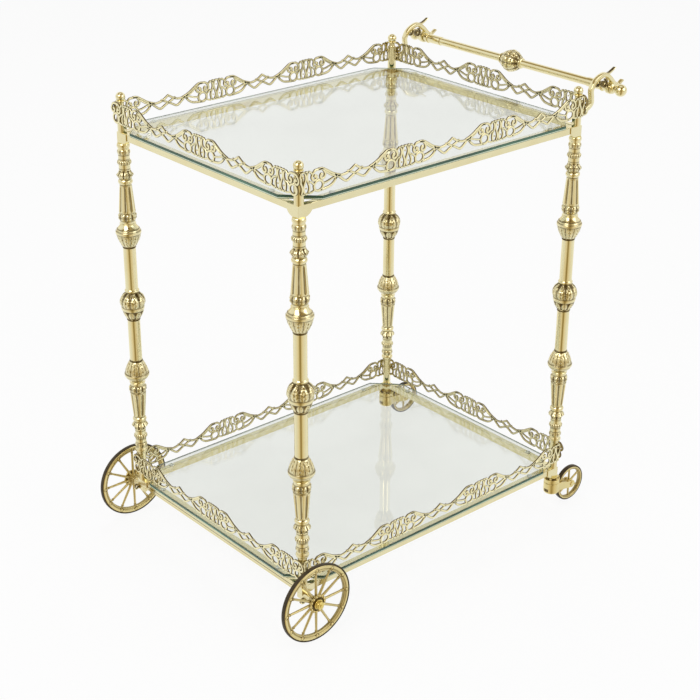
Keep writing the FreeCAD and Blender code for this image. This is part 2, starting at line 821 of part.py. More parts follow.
def make_wheels():
    """Axle, its brackets and nuts, and the two spoked wheels with tyres and caps."""
    hub_face = wheel_offset + hub_outer_length
    axle_end = post_y + hub_face + body_gap + axle_nut_thickness + axle_end_reach
    brackets = [at_corner(axle_bracket(), corner) for corner in ("front_left", "front_right")]
    export("axle_brackets", *brackets)
    axle_point = Vector(-post_x, 0, wheel_radius)
    export("axle", rod(axle_radius, axle_point - Y_AXIS * axle_end, axle_point + Y_AXIS * axle_end))
    nuts = []
    for name, side in SIDES.items():
        place = axle_point + Y_AXIS * (side * (post_y + wheel_offset))
        wheel = across(spoked_wheel(), side)
        wheel.translate(place)
        export("wheel_" + name, wheel)
        tyre = across(ring(wheel_radius - tyre_thickness, wheel_radius, wheel_width, 0.8), side)
        tyre.translate(place)
        export("tyre_" + name, tyre)
        cap = across(lifted(hub_cap(), hub_outer_length), side)
        cap.translate(place)
        export("hub_cap_" + name, cap)
        nut_start = hub_outer_length + body_gap
        nut = Part.makeCylinder(axle_nut_radius, axle_nut_thickness, Vector(0, 0, nut_start))
        nut = bored(nut, axle_radius, nut_start - 1, nut_start + axle_nut_thickness + 1)
        nut = across(nut, side)
        nut.translate(place)
        nuts.append(nut)
    export("axle_nuts", *nuts)


# ---- Casters ----

def caster_hood():
    """Swivelling cup, and two fork plates that trail towards +X.

    z is the height over the floor and x is measured from the swivel's axis.
    """
    top = rear_block_bottom - collar_height - body_gap
    bottom = top - hood_height
    cup = turned([
        (bottom, hood_radius - hood_foot_round, 0),
        (bottom + hood_foot_round, hood_radius, hood_foot_round * 0.29),
        (top - hood_lip, hood_radius, 0),
        (top, hood_radius - hood_lip, hood_lip * 0.29),
    ])
    eye = caster_wheel_radius
    plate_top = top - hood_lip
    angle = math.atan2(plate_top - eye, caster_trail)
    touch = angle + math.acos(fork_eye_radius / math.hypot(caster_trail, plate_top - eye))
    slope_top = (caster_trail + fork_eye_radius * math.cos(math.pi - touch + 2 * angle),
                 eye + fork_eye_radius * math.sin(math.pi - touch + 2 * angle))
    outline = [(0, plate_top), slope_top, (caster_trail, eye - fork_eye_radius),
               (0.45 * caster_trail, bottom), (0, bottom)]
    plates = []
    for side in SIDES.values():
        shift = side * (fork_gap + fork_thickness) / 2
        plate = polygon_plate(outline, fork_thickness)
        end = Part.makeCylinder(fork_eye_radius, fork_thickness,
                                Vector(caster_trail, -fork_thickness / 2, eye), Y_AXIS)
        plate = plate.fuse(end)
        plate.translate(Vector(0, shift, 0))
        plates.append(plate)
    body = cup.fuse(plates)
    slot_from = caster_trail - caster_wheel_radius - fork_slot_clearance
    slot = box(slot_from, 2 * caster_trail, -fork_gap / 2, fork_gap / 2, 0, top + 1)
    hole = Part.makeCylinder(caster_pin_radius + running_clearance, 4 * fork_gap,
                             Vector(caster_trail, -2 * fork_gap, eye), Y_AXIS)
    body = body.cut([slot, hole]).removeSplitter()
    stem_bottom = rear_block_bottom - collar_height - stem_depth
    return bored(body, stem_radius + running_clearance, stem_bottom - body_gap, top + 1)


def caster_stem():
    """Fixed collar with a recessed neck under the block, on a stem that the cup turns on."""
    low = rear_block_bottom - collar_height
    high = rear_block_bottom - collar_neck_height
    collar = turned([
        (low, hood_radius - hood_lip, 0),
        (low + hood_lip, hood_radius, hood_lip * 0.29),
        (high - hood_lip, hood_radius, 0),
        (high, hood_radius - hood_lip, hood_lip * 0.29),
        (high, collar_neck_radius, 0),
        (rear_block_bottom, collar_neck_radius, 0),
    ])
    stem = Part.makeCylinder(stem_radius, collar_height + stem_depth + stem_seat - body_gap,
                             Vector(0, 0, low - stem_depth))
    return collar.fuse(stem).removeSplitter()


def caster_wheel():
    """Small spoked wheel about Z: hub, spokes and rim."""
    rim_outer = caster_wheel_radius - caster_tyre_thickness
    rim_inner = rim_outer - caster_rim_depth
    hub = Part.makeCylinder(caster_hub_radius, caster_hub_length,
                            Vector(0, 0, -caster_hub_length / 2))
    pieces = [ring(rim_inner, rim_outer, caster_wheel_width, 0.8)]
    for count in range(caster_spoke_count):
        angle = 2 * math.pi * (count + 0.5) / caster_spoke_count
        out = Vector(math.cos(angle), math.sin(angle), 0)
        pieces.append(rod(caster_spoke_radius, out * (caster_hub_radius / 2), out * (rim_inner + 1)))
    body = hub.fuse(pieces).removeSplitter()
    return bored(body, caster_pin_radius + running_clearance, -caster_hub_length, caster_hub_length)


def caster_pin():
    """Headed pin along Z through both fork plates."""
    half = fork_gap / 2 + fork_thickness
    pin = Part.makeCylinder(caster_pin_radius, 2 * half, Vector(0, 0, -half))
    heads = [Part.makeCylinder(caster_pin_head_radius, caster_pin_head_height, Vector(0, 0, z))
             for z in (half, -half - caster_pin_head_height)]
    return pin.fuse(heads).removeSplitter()


def make_casters():
    """Two swivel casters under the rear blocks."""
    stems = []
    for name, side in SIDES.items():
        swivel = Vector(post_x, side * post_y, 0)
        centre = swivel + Vector(caster_trail, 0, caster_wheel_radius)
        stem = caster_stem()
        stem.translate(swivel)
        stems.append(stem)
        hood = caster_hood()
        hood.translate(swivel)
        export("caster_hood_" + name, hood)
        tyre = ring(caster_wheel_radius - caster_tyre_thickness, caster_wheel_radius,
                    caster_wheel_width, 1.0)
        for part_name, shape in (("caster_pin_", caster_pin()), ("caster_wheel_", caster_wheel()),
                                 ("caster_tyre_", tyre)):
            placed = across(shape, side)
            placed.translate(centre)
            export(part_name + name, placed)
    export("caster_stems", *stems)


# ---- Build ----

os.makedirs("parts", exist_ok=True)
leg_rods = make_legs()
for tier_name, rail_bottom in (("lower", lower_rail_bottom), ("upper", upper_rail_bottom)):
    make_rails(tier_name, rail_bottom)
    make_gallery(tier_name, rail_bottom + rail_height)
    export(tier_name + "_glass", glass_shelf(rail_bottom + rail_height))
export("glass_pads", *(pads(lower_rail_top) + pads(upper_rail_top)))
handle_rod = make_handle()
export("tie_rods", *(leg_rods + [handle_rod]))
make_wheels()
make_casters()
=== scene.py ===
import json
import math

import bmesh
import bpy
import numpy as np
from bpy.props import FloatProperty, FloatVectorProperty, IntProperty, PointerProperty
from mathutils import Matrix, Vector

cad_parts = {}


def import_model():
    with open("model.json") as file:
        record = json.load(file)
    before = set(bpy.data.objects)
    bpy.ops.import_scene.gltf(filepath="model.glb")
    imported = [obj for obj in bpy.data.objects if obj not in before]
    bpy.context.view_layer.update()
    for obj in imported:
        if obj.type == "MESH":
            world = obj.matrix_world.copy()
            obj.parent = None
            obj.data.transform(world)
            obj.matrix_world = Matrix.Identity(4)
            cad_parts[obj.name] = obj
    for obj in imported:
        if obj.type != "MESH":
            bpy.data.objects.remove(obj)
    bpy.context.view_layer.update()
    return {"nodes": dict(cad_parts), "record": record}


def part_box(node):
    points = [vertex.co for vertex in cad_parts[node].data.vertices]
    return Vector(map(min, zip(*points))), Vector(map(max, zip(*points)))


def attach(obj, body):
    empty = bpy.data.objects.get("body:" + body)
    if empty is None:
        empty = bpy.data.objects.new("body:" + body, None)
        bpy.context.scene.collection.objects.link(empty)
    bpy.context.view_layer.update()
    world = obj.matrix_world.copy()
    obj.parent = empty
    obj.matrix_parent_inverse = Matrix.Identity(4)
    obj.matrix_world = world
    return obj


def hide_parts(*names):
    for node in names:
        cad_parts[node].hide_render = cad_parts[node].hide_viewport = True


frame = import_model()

bl_info = {
    "name": "Dessert Trolley",
    "version": (1, 0, 0),
    "blender": (4, 5, 0),
    "location": "View3D > Sidebar > Trolley",
    "description": "Dresses a brass and glass dessert trolley in cast ornament, round its frame",
    "category": "Object",
}

MM = 0.001
CORNERS = ("front_left", "front_right", "rear_left", "rear_right")
SIDES = {"left": -1, "right": 1}
TIERS = ("lower", "upper")
FRAME_BODY = "frame"


# ---- Sizes and colours that a user would change ----

class TrolleyLegs(bpy.types.PropertyGroup):
    """Relief on the turned legs."""
    petals: IntProperty(name="Petals", description="Leaves round each cast cup and ball",
                        default=8, min=4, max=16)
    flutes: IntProperty(name="Flutes", description="Grooves round each tapered stretch",
                        default=8, min=4, max=20)
    leaf_relief: FloatProperty(name="Leaf relief", description="How far the leaves stand out",
                               default=1.9 * MM, unit="LENGTH")
    flute_depth: FloatProperty(name="Flute depth", description="Depth of the grooves",
                               default=1.5 * MM, unit="LENGTH")
    sides: IntProperty(name="Sides", description="Mesh columns round each casting",
                       default=96, min=24, max=192)


class TrolleyGallery(bpy.types.PropertyGroup):
    """Cast scrollwork round the shelves."""
    repeat: FloatProperty(name="Repeat", description="Length of the pattern",
                          default=190 * MM, unit="LENGTH")
    strand: FloatProperty(name="Strand", description="Height of a strand's section",
                          default=3.7 * MM, unit="LENGTH")
    thickness: FloatProperty(name="Thickness", description="Thickness of a strip",
                             default=3.0 * MM, unit="LENGTH")
    lift: FloatProperty(name="Lift", description="Gap left under the scrollwork, in its own height",
                        default=3.2 * MM, unit="LENGTH")
    steps: IntProperty(name="Steps", description="Mesh steps between two points of a strand",
                       default=6, min=2, max=16)


class TrolleyWheels(bpy.types.PropertyGroup):
    """Spoked wheels, their tyres and the casters."""
    spokes: IntProperty(name="Spokes", description="Spokes of a large wheel", default=12)
    caster_spokes: IntProperty(name="Caster spokes", description="Spokes of a small wheel",
                               default=6)
    beads: IntProperty(name="Beads", description="Beads round a large wheel's hub", default=14)
    tyre: FloatProperty(name="Tyre", description="Thickness of the rubber", default=2.1 * MM,
                        unit="LENGTH")


class TrolleyFinish(bpy.types.PropertyGroup):
    """Colours of the finishes."""
    brass: FloatVectorProperty(name="Brass", description="Polished brass", subtype="COLOR",
                               default=(0.855, 0.78, 0.485), min=0, max=1)
    warm_brass: FloatVectorProperty(name="Warm brass", description="Brass where it is rubbed less",
                                    subtype="COLOR", default=(0.80, 0.68, 0.36), min=0, max=1)
    pale_brass: FloatVectorProperty(name="Pale brass", description="Scrollwork of the galleries",
                                    subtype="COLOR", default=(0.945, 0.87, 0.54), min=0, max=1)
    aged_brass: FloatVectorProperty(name="Aged brass", description="Wheels and casters",
                                    subtype="COLOR", default=(0.825, 0.70, 0.34), min=0, max=1)
    gilt: FloatVectorProperty(name="Gilt", description="Hub caps", subtype="COLOR",
                              default=(0.84, 0.67, 0.22), min=0, max=1)
    # Dark brown of the patina at the bottom of the relief; the same colour is also laid on as
    # painted shade where pieces mark shade
    patina_and_shade_colour: FloatVectorProperty(name="Patina", description="Brass at the bottom of the relief",
                                subtype="COLOR", default=(0.105, 0.066, 0.018), min=0, max=1)
    glass: FloatVectorProperty(name="Glass", description="Glass seen through its edge",
                               subtype="COLOR", default=(0.052, 0.112, 0.074), min=0, max=1)
    rubber: FloatVectorProperty(name="Rubber", description="Tyres", subtype="COLOR",
                                default=(0.046, 0.033, 0.015), min=0, max=1)


class TrolleyStudio(bpy.types.PropertyGroup):
    """Camera, lamps and floor."""
    azimuth: FloatProperty(name="Azimuth", description="Camera's turn about the trolley",
                           default=math.radians(-41.08), subtype="ANGLE")
    elevation: FloatProperty(name="Elevation", description="Camera's angle above the floor",
                             default=math.radians(25.344), subtype="ANGLE")
    roll: FloatProperty(name="Roll", description="Camera's roll", default=math.radians(0.276),
                        subtype="ANGLE")
    place: FloatVectorProperty(name="Place", description="Camera's place", subtype="TRANSLATION",
                               default=(-1.5805, -1.7892, 1.4420))
    lens: FloatProperty(name="Lens", description="Focal length in millimetres", default=80.16)
    key: FloatProperty(name="Key", description="Strength of the main lamp in watts", default=26)
    surround: FloatProperty(name="Surround", description="Light from all round", default=0.62)


# ---- Surfaces: each is (points in millimetres, faces, darkness from 0 to 1: depth of relief, and painted shade on shaded faces) ----

RING_SPACING = 0.8      # millimetres between the rings of a turned surface
SWELL_STEPS = 6         # extra rings on a stretch that swells
AXIS_RADIUS = 0.5       # millimetres from the axis within which a turned surface has no relief
TIP_LENGTH = 0.3        # length of a strap's rounded tip, as a share of its width
SHOULDER_AT = 0.8       # where the tip's shoulder is, as a share of the tip
SHOULDER_SIZE = 0.6     # size of the section there


def sheet(points, patina_and_shade=0.0, close_u=False, close_v=False):
    """Quads between neighbouring points of a (rows, columns, 3) grid.

    close_u joins the last row to the first, and close_v the last column to the first.
    """
    rows, columns = points.shape[:2]
    index = np.arange(rows * columns).reshape(rows, columns)
    if close_u:
        index = np.vstack([index, index[:1]])
    if close_v:
        index = np.hstack([index, index[:, :1]])
    corners = [index[:-1, :-1], index[:-1, 1:], index[1:, 1:], index[1:, :-1]]
    faces = np.stack(corners, axis=-1).reshape(-1, 4)
    patina_and_shade_values = np.broadcast_to(patina_and_shade, (rows, columns)).reshape(-1)
    return points.reshape(-1, 3), faces, patina_and_shade_values


def moved(part, matrix=None, shift=(0, 0, 0)):
    """The same surface under a 3 x 3 matrix, then shifted."""
    points, faces, patina_and_shade = part
    if matrix is not None:
        points = points @ np.asarray(matrix, float).T
    return points + np.asarray(shift, float), faces, patina_and_shade


def darkened(part, patina_and_shade):
    """The same surface, all of it made equally dark: relief of one depth, and on shaded pieces
    painted shade.
    """
    points, faces, old = part
    return points, faces, np.full_like(old, patina_and_shade, dtype=float)


def outline(stations, spacing):
    """Heights and radii along a turned outline.

    Each station is (height, radius, swell). Between two stations the outline is a straight
    line plus swell times the parabola 4t(1 - t) at right angles to it.
    """
    pieces = []
    for (h0, r0, _), (h1, r1, swell) in zip(stations, stations[1:]):
        length = math.hypot(h1 - h0, r1 - r0)
        count = int(length / spacing) + 1 + (SWELL_STEPS if swell else 0)
        t = np.linspace(0, 1, max(2, count))[:, None]
        along = np.array([h1 - h0, r1 - r0]) / length
        aside = np.array([-along[1], along[0]])
        line = np.array([h0, r0]) * (1 - t) + np.array([h1, r1]) * t
        pieces.append(line + aside * swell * 4 * t * (1 - t))
    line = np.vstack(pieces)
    return line[:, 0], np.maximum(line[:, 1], 0)


def turned(stations, sides, relief=None, spacing=RING_SPACING):
    """Surface of revolution about Z, closed at both ends by its poles.

    relief(height, angle) gives how far the surface stands out there, and how dark it is made there
    by the depth of relief and any painted shade.
    """
    ends = [(stations[0][0], 0, 0)] + list(stations) + [(stations[-1][0], 0, 0)]
    heights, radii = outline(ends, spacing)
    angle = np.linspace(0, 2 * np.pi, sides, endpoint=False)
    h, a = np.meshgrid(heights, angle, indexing="ij")
    r = np.repeat(radii[:, None], sides, axis=1)
    patina_and_shade = np.zeros_like(r)
    if relief is not None:
        out, patina_and_shade = relief(h, a)
        r = np.where(r > AXIS_RADIUS, r + out, r)
    points = np.stack([r * np.cos(a), r * np.sin(a), h], axis=-1)
    return sheet(points, patina_and_shade, close_v=True)


def hoop(section, sides, patina_and_shade=0.0):
    """Ring about Z: a closed outline of (radius, height) points turned round the axis.

    The last argument gives how dark each point of the outline is made: the relief's depth there,
    and on shaded rings painted shade.
    """
    section = np.asarray(section, float)
    angle = np.linspace(0, 2 * np.pi, sides, endpoint=False)
    r, h = section[:, 0][None, :], section[:, 1][None, :]
    points = np.stack([np.cos(angle)[:, None] * r, np.sin(angle)[:, None] * r,
                       np.repeat(h, sides, axis=0)], axis=-1)
    return sheet(points, patina_and_shade, close_u=True, close_v=True)


def rounded(inner, outer, width, power, count):
    """Closed section of a ring: a superellipse of count points between two radii."""
    t = np.linspace(0, 2 * np.pi, count, endpoint=False)
    c, s = np.cos(t), np.sin(t)
    r = (inner + outer) / 2 + (outer - inner) / 2 * np.sign(c) * np.abs(c) ** (2 / power)
    return np.stack([r, width / 2 * np.sign(s) * np.abs(s) ** (2 / power)], axis=-1)


def collar(inner, outer, width, patina_and_shade, place, sides=48):
    """Dark ring about Z at a place, with squared edges."""
    return darkened(moved(hoop(rounded(inner, outer, width, 6, 12), sides), shift=place), patina_and_shade)


def curve(points, steps):
    """Smooth line through the given points: a Catmull-Rom spline, as an array."""
    p = np.asarray(points, float)
    ends = np.vstack([2 * p[0] - p[1], p, 2 * p[-1] - p[-2]])
    t = np.linspace(0, 1, steps, endpoint=False)[None, :, None]
    a, b, c, d = (ends[i:len(ends) - 3 + i, None, :] for i in range(4))
    line = 0.5 * (2 * b + (c - a) * t + (2 * a - 5 * b + 4 * c - d) * t ** 2
                  + (3 * b - a - 3 * c + d) * t ** 3)
    return np.vstack([line.reshape(-1, p.shape[1]), p[-1:]])


def spiral(centre, start_radius, end_radius, start, turn, count=26):
    """Line in a plane whose radius falls evenly while it turns about a centre, in degrees."""
    t = np.linspace(0, 1, count)
    r = start_radius + (end_radius - start_radius) * t
    a = np.radians(start + turn * t)
    return np.stack([centre[0] + r * np.cos(a), centre[1] + r * np.sin(a)], axis=-1)


def strap(line, width, thickness, sides=8, closed=False, power=4.0, back=0.0):
    """Bar carried along a line in the XZ plane, with a rounded section.

    The section is a superellipse: width in the plane, thickness along Y. Its sides carry painted
    shade. Its +Y face carries painted shade of strength back. Both are also made a little rougher.
    Open ends close in a rounded tip, one small step past the line's end.
    """
    line = np.asarray(line, float)
    width = np.broadcast_to(np.asarray(width, float), len(line))
    scale = np.ones(len(line))
    if closed:
        along = np.roll(line, -1, axis=0) - np.roll(line, 1, axis=0)
    else:
        along = np.gradient(line, axis=0)
        first = along[0] / np.linalg.norm(along[0]) * width[0] * TIP_LENGTH
        last = along[-1] / np.linalg.norm(along[-1]) * width[-1] * TIP_LENGTH
        line = np.vstack([line[0] - first, line[0] - first * SHOULDER_AT, line,
                          line[-1] + last * SHOULDER_AT, line[-1] + last])
        along = np.pad(along, ((2, 2), (0, 0)), mode="edge")
        width = np.pad(width, 2, mode="edge")
        scale = np.concatenate([[0, SHOULDER_SIZE], scale, [SHOULDER_SIZE, 0]])
    along = along / np.maximum(np.linalg.norm(along, axis=1, keepdims=True), 1e-9)
    aside = np.stack([-along[:, 1], along[:, 0]], axis=-1)
    t = (np.arange(sides) + 0.5) * 2 * np.pi / sides
    c = np.sign(np.cos(t)) * np.abs(np.cos(t)) ** (2 / power)
    s = np.sign(np.sin(t)) * np.abs(np.sin(t)) ** (2 / power)
    reach = c[None, :, None] * (width * scale / 2)[:, None, None]
    flat = line[:, None, :] + aside[:, None, :] * reach
    y = s[None, :] * (thickness / 2 * scale)[:, None]
    points = np.stack([flat[..., 0], y, flat[..., 1]], axis=-1)
    # painted shade: the section's sides, and its +Y face by as much as back
    shaded_sides = step(np.abs(np.cos(t)), 0.75, 0.92)
    patina_and_shade = np.maximum(shaded_sides, back * (np.sin(t) > 0.3))
    return sheet(points, patina_and_shade, close_u=closed, close_v=True)


def bar(section, start, end, patina_and_shade):
    """Straight moulding along X: a closed (y, z) outline between two ends, which are closed."""
    section = np.asarray(section, float)
    along = np.array([start, start, end, end])[:, None]
    inward = np.array([0.0, 1.0, 1.0, 0.0])[:, None]
    middle = section.mean(axis=0)
    y = middle[0] + inward * (section[:, 0] - middle[0])
    z = middle[1] + inward * (section[:, 1] - middle[1])
    return sheet(np.stack([along + 0 * y, y, z], axis=-1), patina_and_shade, close_v=True)


def bead(centre, radii, rows=7, columns=10):
    """Ellipsoid: radii times (sin u cos v, sin u sin v, cos u)."""
    u = np.linspace(0, np.pi, rows)[:, None]
    v = np.linspace(0, 2 * np.pi, columns, endpoint=False)[None, :]
    unit = np.stack([np.sin(u) * np.cos(v), np.sin(u) * np.sin(v), np.cos(u) + 0 * v], axis=-1)
    return sheet(unit * np.asarray(radii, float) + np.asarray(centre, float), close_v=True)


def bead_ring(centre, radius, radii, count, phase=0.0):
    """Beads side by side on a circle about Z, the first one phase beads round."""
    parts = []
    for number in range(count):
        angle = 2 * math.pi * (number + phase) / count
        at = (centre[0] + radius * math.cos(angle), centre[1] + radius * math.sin(angle), centre[2])
        parts.append(bead(at, radii, 9, 14))
    return parts


def taper(start, end, radius_start, radius_end, sides=12):
    """Round tapering bar from one point to another, closed at both ends."""
    start, end = np.asarray(start, float), np.asarray(end, float)
    along = (end - start) / np.linalg.norm(end - start)
    side = np.cross(along, [0, 0, 1] if abs(along[2]) < 0.9 else [1, 0, 0])
    side /= np.linalg.norm(side)
    other = np.cross(along, side)
    angle = np.linspace(0, 2 * np.pi, sides, endpoint=False)
    ring = np.cos(angle)[:, None] * side + np.sin(angle)[:, None] * other
    shares = np.array([0, 0, 0.25, 0.5, 0.75, 1, 1])
    radii = radius_start + (radius_end - radius_start) * shares
    radii[[0, -1]] = 0
    centres = start + (end - start) * shares[:, None]
    return sheet(centres[:, None, :] + radii[:, None, None] * ring[None], close_v=True)


TO_PLUS_Y = np.array([[1, 0, 0], [0, 0, 1], [0, -1, 0]])    # turns Z to +Y
TO_MINUS_Y = np.array([[1, 0, 0], [0, 0, -1], [0, 1, 0]])   # turns Z to -Y
ALONG_Y = np.array([[0, -1, 0], [1, 0, 0], [0, 0, 1]])      # turns X to +Y


def outward(side):
    """Matrix that turns Z to the trolley's outer side."""
    return TO_PLUS_Y if side > 0 else TO_MINUS_Y


# ---- Relief: shapes from 0 to 1 over a height in millimetres and an angle ----

LEAF_FOOT = 0.22    # how wide a leaf is at its foot: the start of its half sine wave
VEIN_WIDTH = 0.055  # half width of a leaf's vein, as a share of the leaf
RIBS = 3.5          # ribs along a leaf
RIB_SLANT = 5       # how steeply they slant from the vein
FLUTE_END = 4.0     # millimetres in which a groove's end rounds off
FLUTE_HALF = 0.20   # half width of a groove, as a share of its pitch


def step(x, low, high):
    """Smooth step from 0 at low to 1 at high."""
    t = np.clip((x - low) / (high - low), 0, 1)
    return t * t * (3 - 2 * t)


def between(x, low, high, soft=0.8):
    """1 between two heights, falling to 0 over a soft edge inside them."""
    return step(x, low, low + soft) * (1 - step(x, high - soft, high))


def leaf(t, angle, count, shift=0.0):
    """Row of pointed leaves: t runs from their foot (0) to their tips (1).

    Each leaf is the half ellipse 1 - (across / half width) squared, with a vein down its
    middle and ribs that slant from it. The half width swells and closes at the tip.
    """
    across = np.mod(angle * count / (2 * np.pi) + shift, 1) - 0.5
    inside = np.clip(t, 0, 1)
    swell = np.sin(np.pi * (LEAF_FOOT + (1 - LEAF_FOOT) * inside))
    half = 0.5 * np.sqrt(np.clip(swell, 0, 1)) + 1e-4
    body = np.sqrt(np.clip(1 - (across / half) ** 2, 0, 1))
    vein = np.exp(-(across / VEIN_WIDTH) ** 2)
    ribs = 0.5 + 0.5 * np.cos(2 * np.pi * (RIBS * inside - RIB_SLANT * np.abs(across)))
    shape = body * (0.78 + 0.22 * ribs) - 0.38 * vein * body
    return np.where((t > 0) & (t < 1), np.clip(shape, 0, 1), 0)


def gap(shape):
    """Depth between leaves: 0 on a leaf, rising past 1 where it falls away."""
    return 1.1 * step(1 - shape, 0.22, 0.70)


def flute(height, angle, count, low, high):
    """Row of round-ended grooves between two heights, 1 at the bottom of a groove."""
    across = np.mod(angle * count / (2 * np.pi) + 0.5, 1) - 0.5
    ends = np.clip(np.minimum(height - low, high - height) / FLUTE_END, 0, 1)
    half = FLUTE_HALF * np.sqrt(np.clip(1 - (1 - ends) ** 2, 0, 1)) + 1e-4
    return np.where(ends > 0, np.sqrt(np.clip(1 - (across / half) ** 2, 0, 1)), 0)


def gadroon(angle, count, shift=0.0):
    """Round lobes side by side: 1 on a lobe, 0 between two."""
    return np.abs(np.cos((angle + shift * 2 * np.pi / count) * count / 2)) ** 0.6


def seams(height, places, width=0.8):
    """Dark lines round a casting at the given heights: a bell curve about each."""
    return sum(np.exp(-((height - at) / width) ** 2) for at in places)


def tube_end(height, low, length):
    """Dark ring where a casting meets its tube, over a length from a height up."""
    return 1.2 * between(height, low - 0.4, low + length, 0.7)


# ---- Meshes ----

DOUBLES = 1e-6                          # metres within which a surface's points are merged
NODE_DOUBLES = 2e-6                     # the same in a copy of a frame node
FLAT_ANGLE = math.radians(1.0)          # faces that meet flatter than this are joined
SHARP_ANGLE = math.radians(40.0)        # edges sharper than this are shaded sharp
BEVEL_ANGLE = math.radians(35)          # edges sharper than this are rounded


def piece(name, parts, body, finish, nodes=()):
    """Put surfaces, in millimetres, into one mesh in the trolley's frame and place it on a body.

    Poles and seams are closed by merging their doubles, and faces are turned outward.
    """
    counts = np.cumsum([0] + [len(points) for points, _, _ in parts])
    points = np.vstack([part[0] for part in parts]) * MM
    faces = np.vstack([part[1] + base for part, base in zip(parts, counts)])
    patina_and_shade = np.concatenate([part[2] for part in parts])
    mesh = bpy.data.meshes.new(name)
    mesh.vertices.add(len(points))
    mesh.vertices.foreach_set("co", points.astype(np.float32).ravel())
    mesh.loops.add(faces.size)
    mesh.loops.foreach_set("vertex_index", faces.astype(np.int32).ravel())
    mesh.polygons.add(len(faces))
    mesh.polygons.foreach_set("loop_start", np.arange(0, faces.size, 4, dtype=np.int32))
    mesh.update(calc_edges=True)
    attribute = mesh.attributes.new("patina_and_shade", "FLOAT", "POINT")
    attribute.data.foreach_set("value", patina_and_shade.astype(np.float32))
    shell = bmesh.new()
    shell.from_mesh(mesh)
    bmesh.ops.remove_doubles(shell, verts=shell.verts, dist=DOUBLES)
    bmesh.ops.recalc_face_normals(shell, faces=shell.faces)
    shell.to_mesh(mesh)
    shell.free()
    mesh.polygons.foreach_set("use_smooth", np.ones(len(mesh.polygons), bool))
    mesh.set_sharp_from_angle(angle=SHARP_ANGLE)
    mesh.update()
    if mesh.validate():
        raise RuntimeError(f"{name} has broken faces")
    return settle(bpy.data.objects.new(name, mesh), body, finish, nodes)


def settle(made, body, finish, nodes):
    """Link a piece into the scene, give it its material and body, and hide the frame nodes that it
    stands for.
    """
    bpy.context.scene.collection.objects.link(made)
    made.data.materials.clear()
    made.data.materials.append(bpy.data.materials[finish])
    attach(made, body)
    if nodes:
        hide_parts(*nodes)
    return made


def softened(name, node, body, finish, width):
    """Copy of a frame node with its doubles merged and its edges rounded by a width in metres."""
    mesh = frame["nodes"][node].data.copy()
    shell = bmesh.new()
    shell.from_mesh(mesh)
    bmesh.ops.remove_doubles(shell, verts=shell.verts, dist=NODE_DOUBLES)
    bmesh.ops.dissolve_limit(shell, angle_limit=FLAT_ANGLE, verts=shell.verts,
                             edges=shell.edges)
    shell.to_mesh(mesh)
    shell.free()
    mesh.polygons.foreach_set("use_smooth", np.ones(len(mesh.polygons), bool))
    mesh.update()
    made = settle(bpy.data.objects.new(name, mesh), body, finish, (node,))
    bevel = made.modifiers.new("Rounded edges", "BEVEL")
    bevel.width = width
    bevel.segments = 2
    bevel.limit_method = "ANGLE"
    bevel.angle_limit = BEVEL_ANGLE
    bevel.use_clamp_overlap = True
    made.modifiers.new("Even shading", "WEIGHTED_NORMAL").keep_sharp = False
    return made


def millimetres(node):
    """Lowest and highest corner of a frame node, in millimetres."""
    low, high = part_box(node)
    return np.array(low) / MM, np.array(high) / MM


def centre_of(node):
    """Middle of a frame node's box, in millimetres."""
    low, high = millimetres(node)
    return (low + high) / 2


# ---- Finishes ----

GRAIN_HEIGHT = 0.0002   # metres between the top and the bottom of a finish's fine grain
GLASS_IOR = 1.5


def new_material(name):
    """Empty node tree of a new material, and its output node."""
    material = bpy.data.materials.new(name)
    material.use_nodes = True
    tree = material.node_tree
    tree.nodes.clear()
    return tree, tree.nodes.new("ShaderNodeOutputMaterial")


def principled(name, values):
    """New material with one shader: its node tree, the shader, the output and coordinates."""
    tree, output = new_material(name)
    shader = tree.nodes.new("ShaderNodeBsdfPrincipled")
    for socket, value in values.items():
        shader.inputs[socket].default_value = value
    tree.links.new(shader.outputs["BSDF"], output.inputs["Surface"])
    return tree, shader, output, tree.nodes.new("ShaderNodeTexCoord")


def noise(tree, where, scale, detail):
    """Noise over Object coordinates."""
    node = tree.nodes.new("ShaderNodeTexNoise")
    node.inputs["Scale"].default_value = scale
    node.inputs["Detail"].default_value = detail
    tree.links.new(where.outputs["Object"], node.inputs["Vector"])
    return node.outputs["Fac"]


def spread(tree, value, low, high, to_low=0.0, to_high=1.0):
    """Map a value from one range to another, clamped."""
    node = tree.nodes.new("ShaderNodeMapRange")
    for socket, limit in (("From Min", low), ("From Max", high), ("To Min", to_low),
                          ("To Max", to_high)):
        node.inputs[socket].default_value = limit
    tree.links.new(value, node.inputs["Value"])
    return node.outputs["Result"]


def mixed(tree, share, first, second, blend="MIX"):
    """Colour between two colours or sockets, or their product, by a share."""
    node = tree.nodes.new("ShaderNodeMix")
    node.data_type = "RGBA"
    node.blend_type = blend
    for socket, value in ((0, share), (6, first), (7, second)):
        if isinstance(value, bpy.types.NodeSocket):
            tree.links.new(value, node.inputs[socket])
        elif socket:
            node.inputs[socket].default_value = (*value, 1)
        else:
            node.inputs[socket].default_value = value
    return node.outputs[2]


def reckoned(tree, operation, first, second=None):
    """Math node of two sockets or numbers."""
    node = tree.nodes.new("ShaderNodeMath")
    node.operation = operation
    for socket, value in zip(node.inputs, (first, second)):
        if isinstance(value, bpy.types.NodeSocket):
            tree.links.new(value, socket)
        elif value is not None:
            socket.default_value = value
    return node.outputs[0]


def dressed(tree, shader, colour, rough):
    """Feed a shader its colour and its roughness."""
    tree.links.new(colour, shader.inputs["Base Color"])
    tree.links.new(rough, shader.inputs["Roughness"])


def grained(tree, shader, height, strength):
    """Raise a fine grain on a shader's surface."""
    bump = tree.nodes.new("ShaderNodeBump")
    bump.inputs["Strength"].default_value = strength
    bump.inputs["Distance"].default_value = GRAIN_HEIGHT
    tree.links.new(height, bump.inputs["Height"])
    tree.links.new(bump.outputs["Normal"], shader.inputs["Normal"])


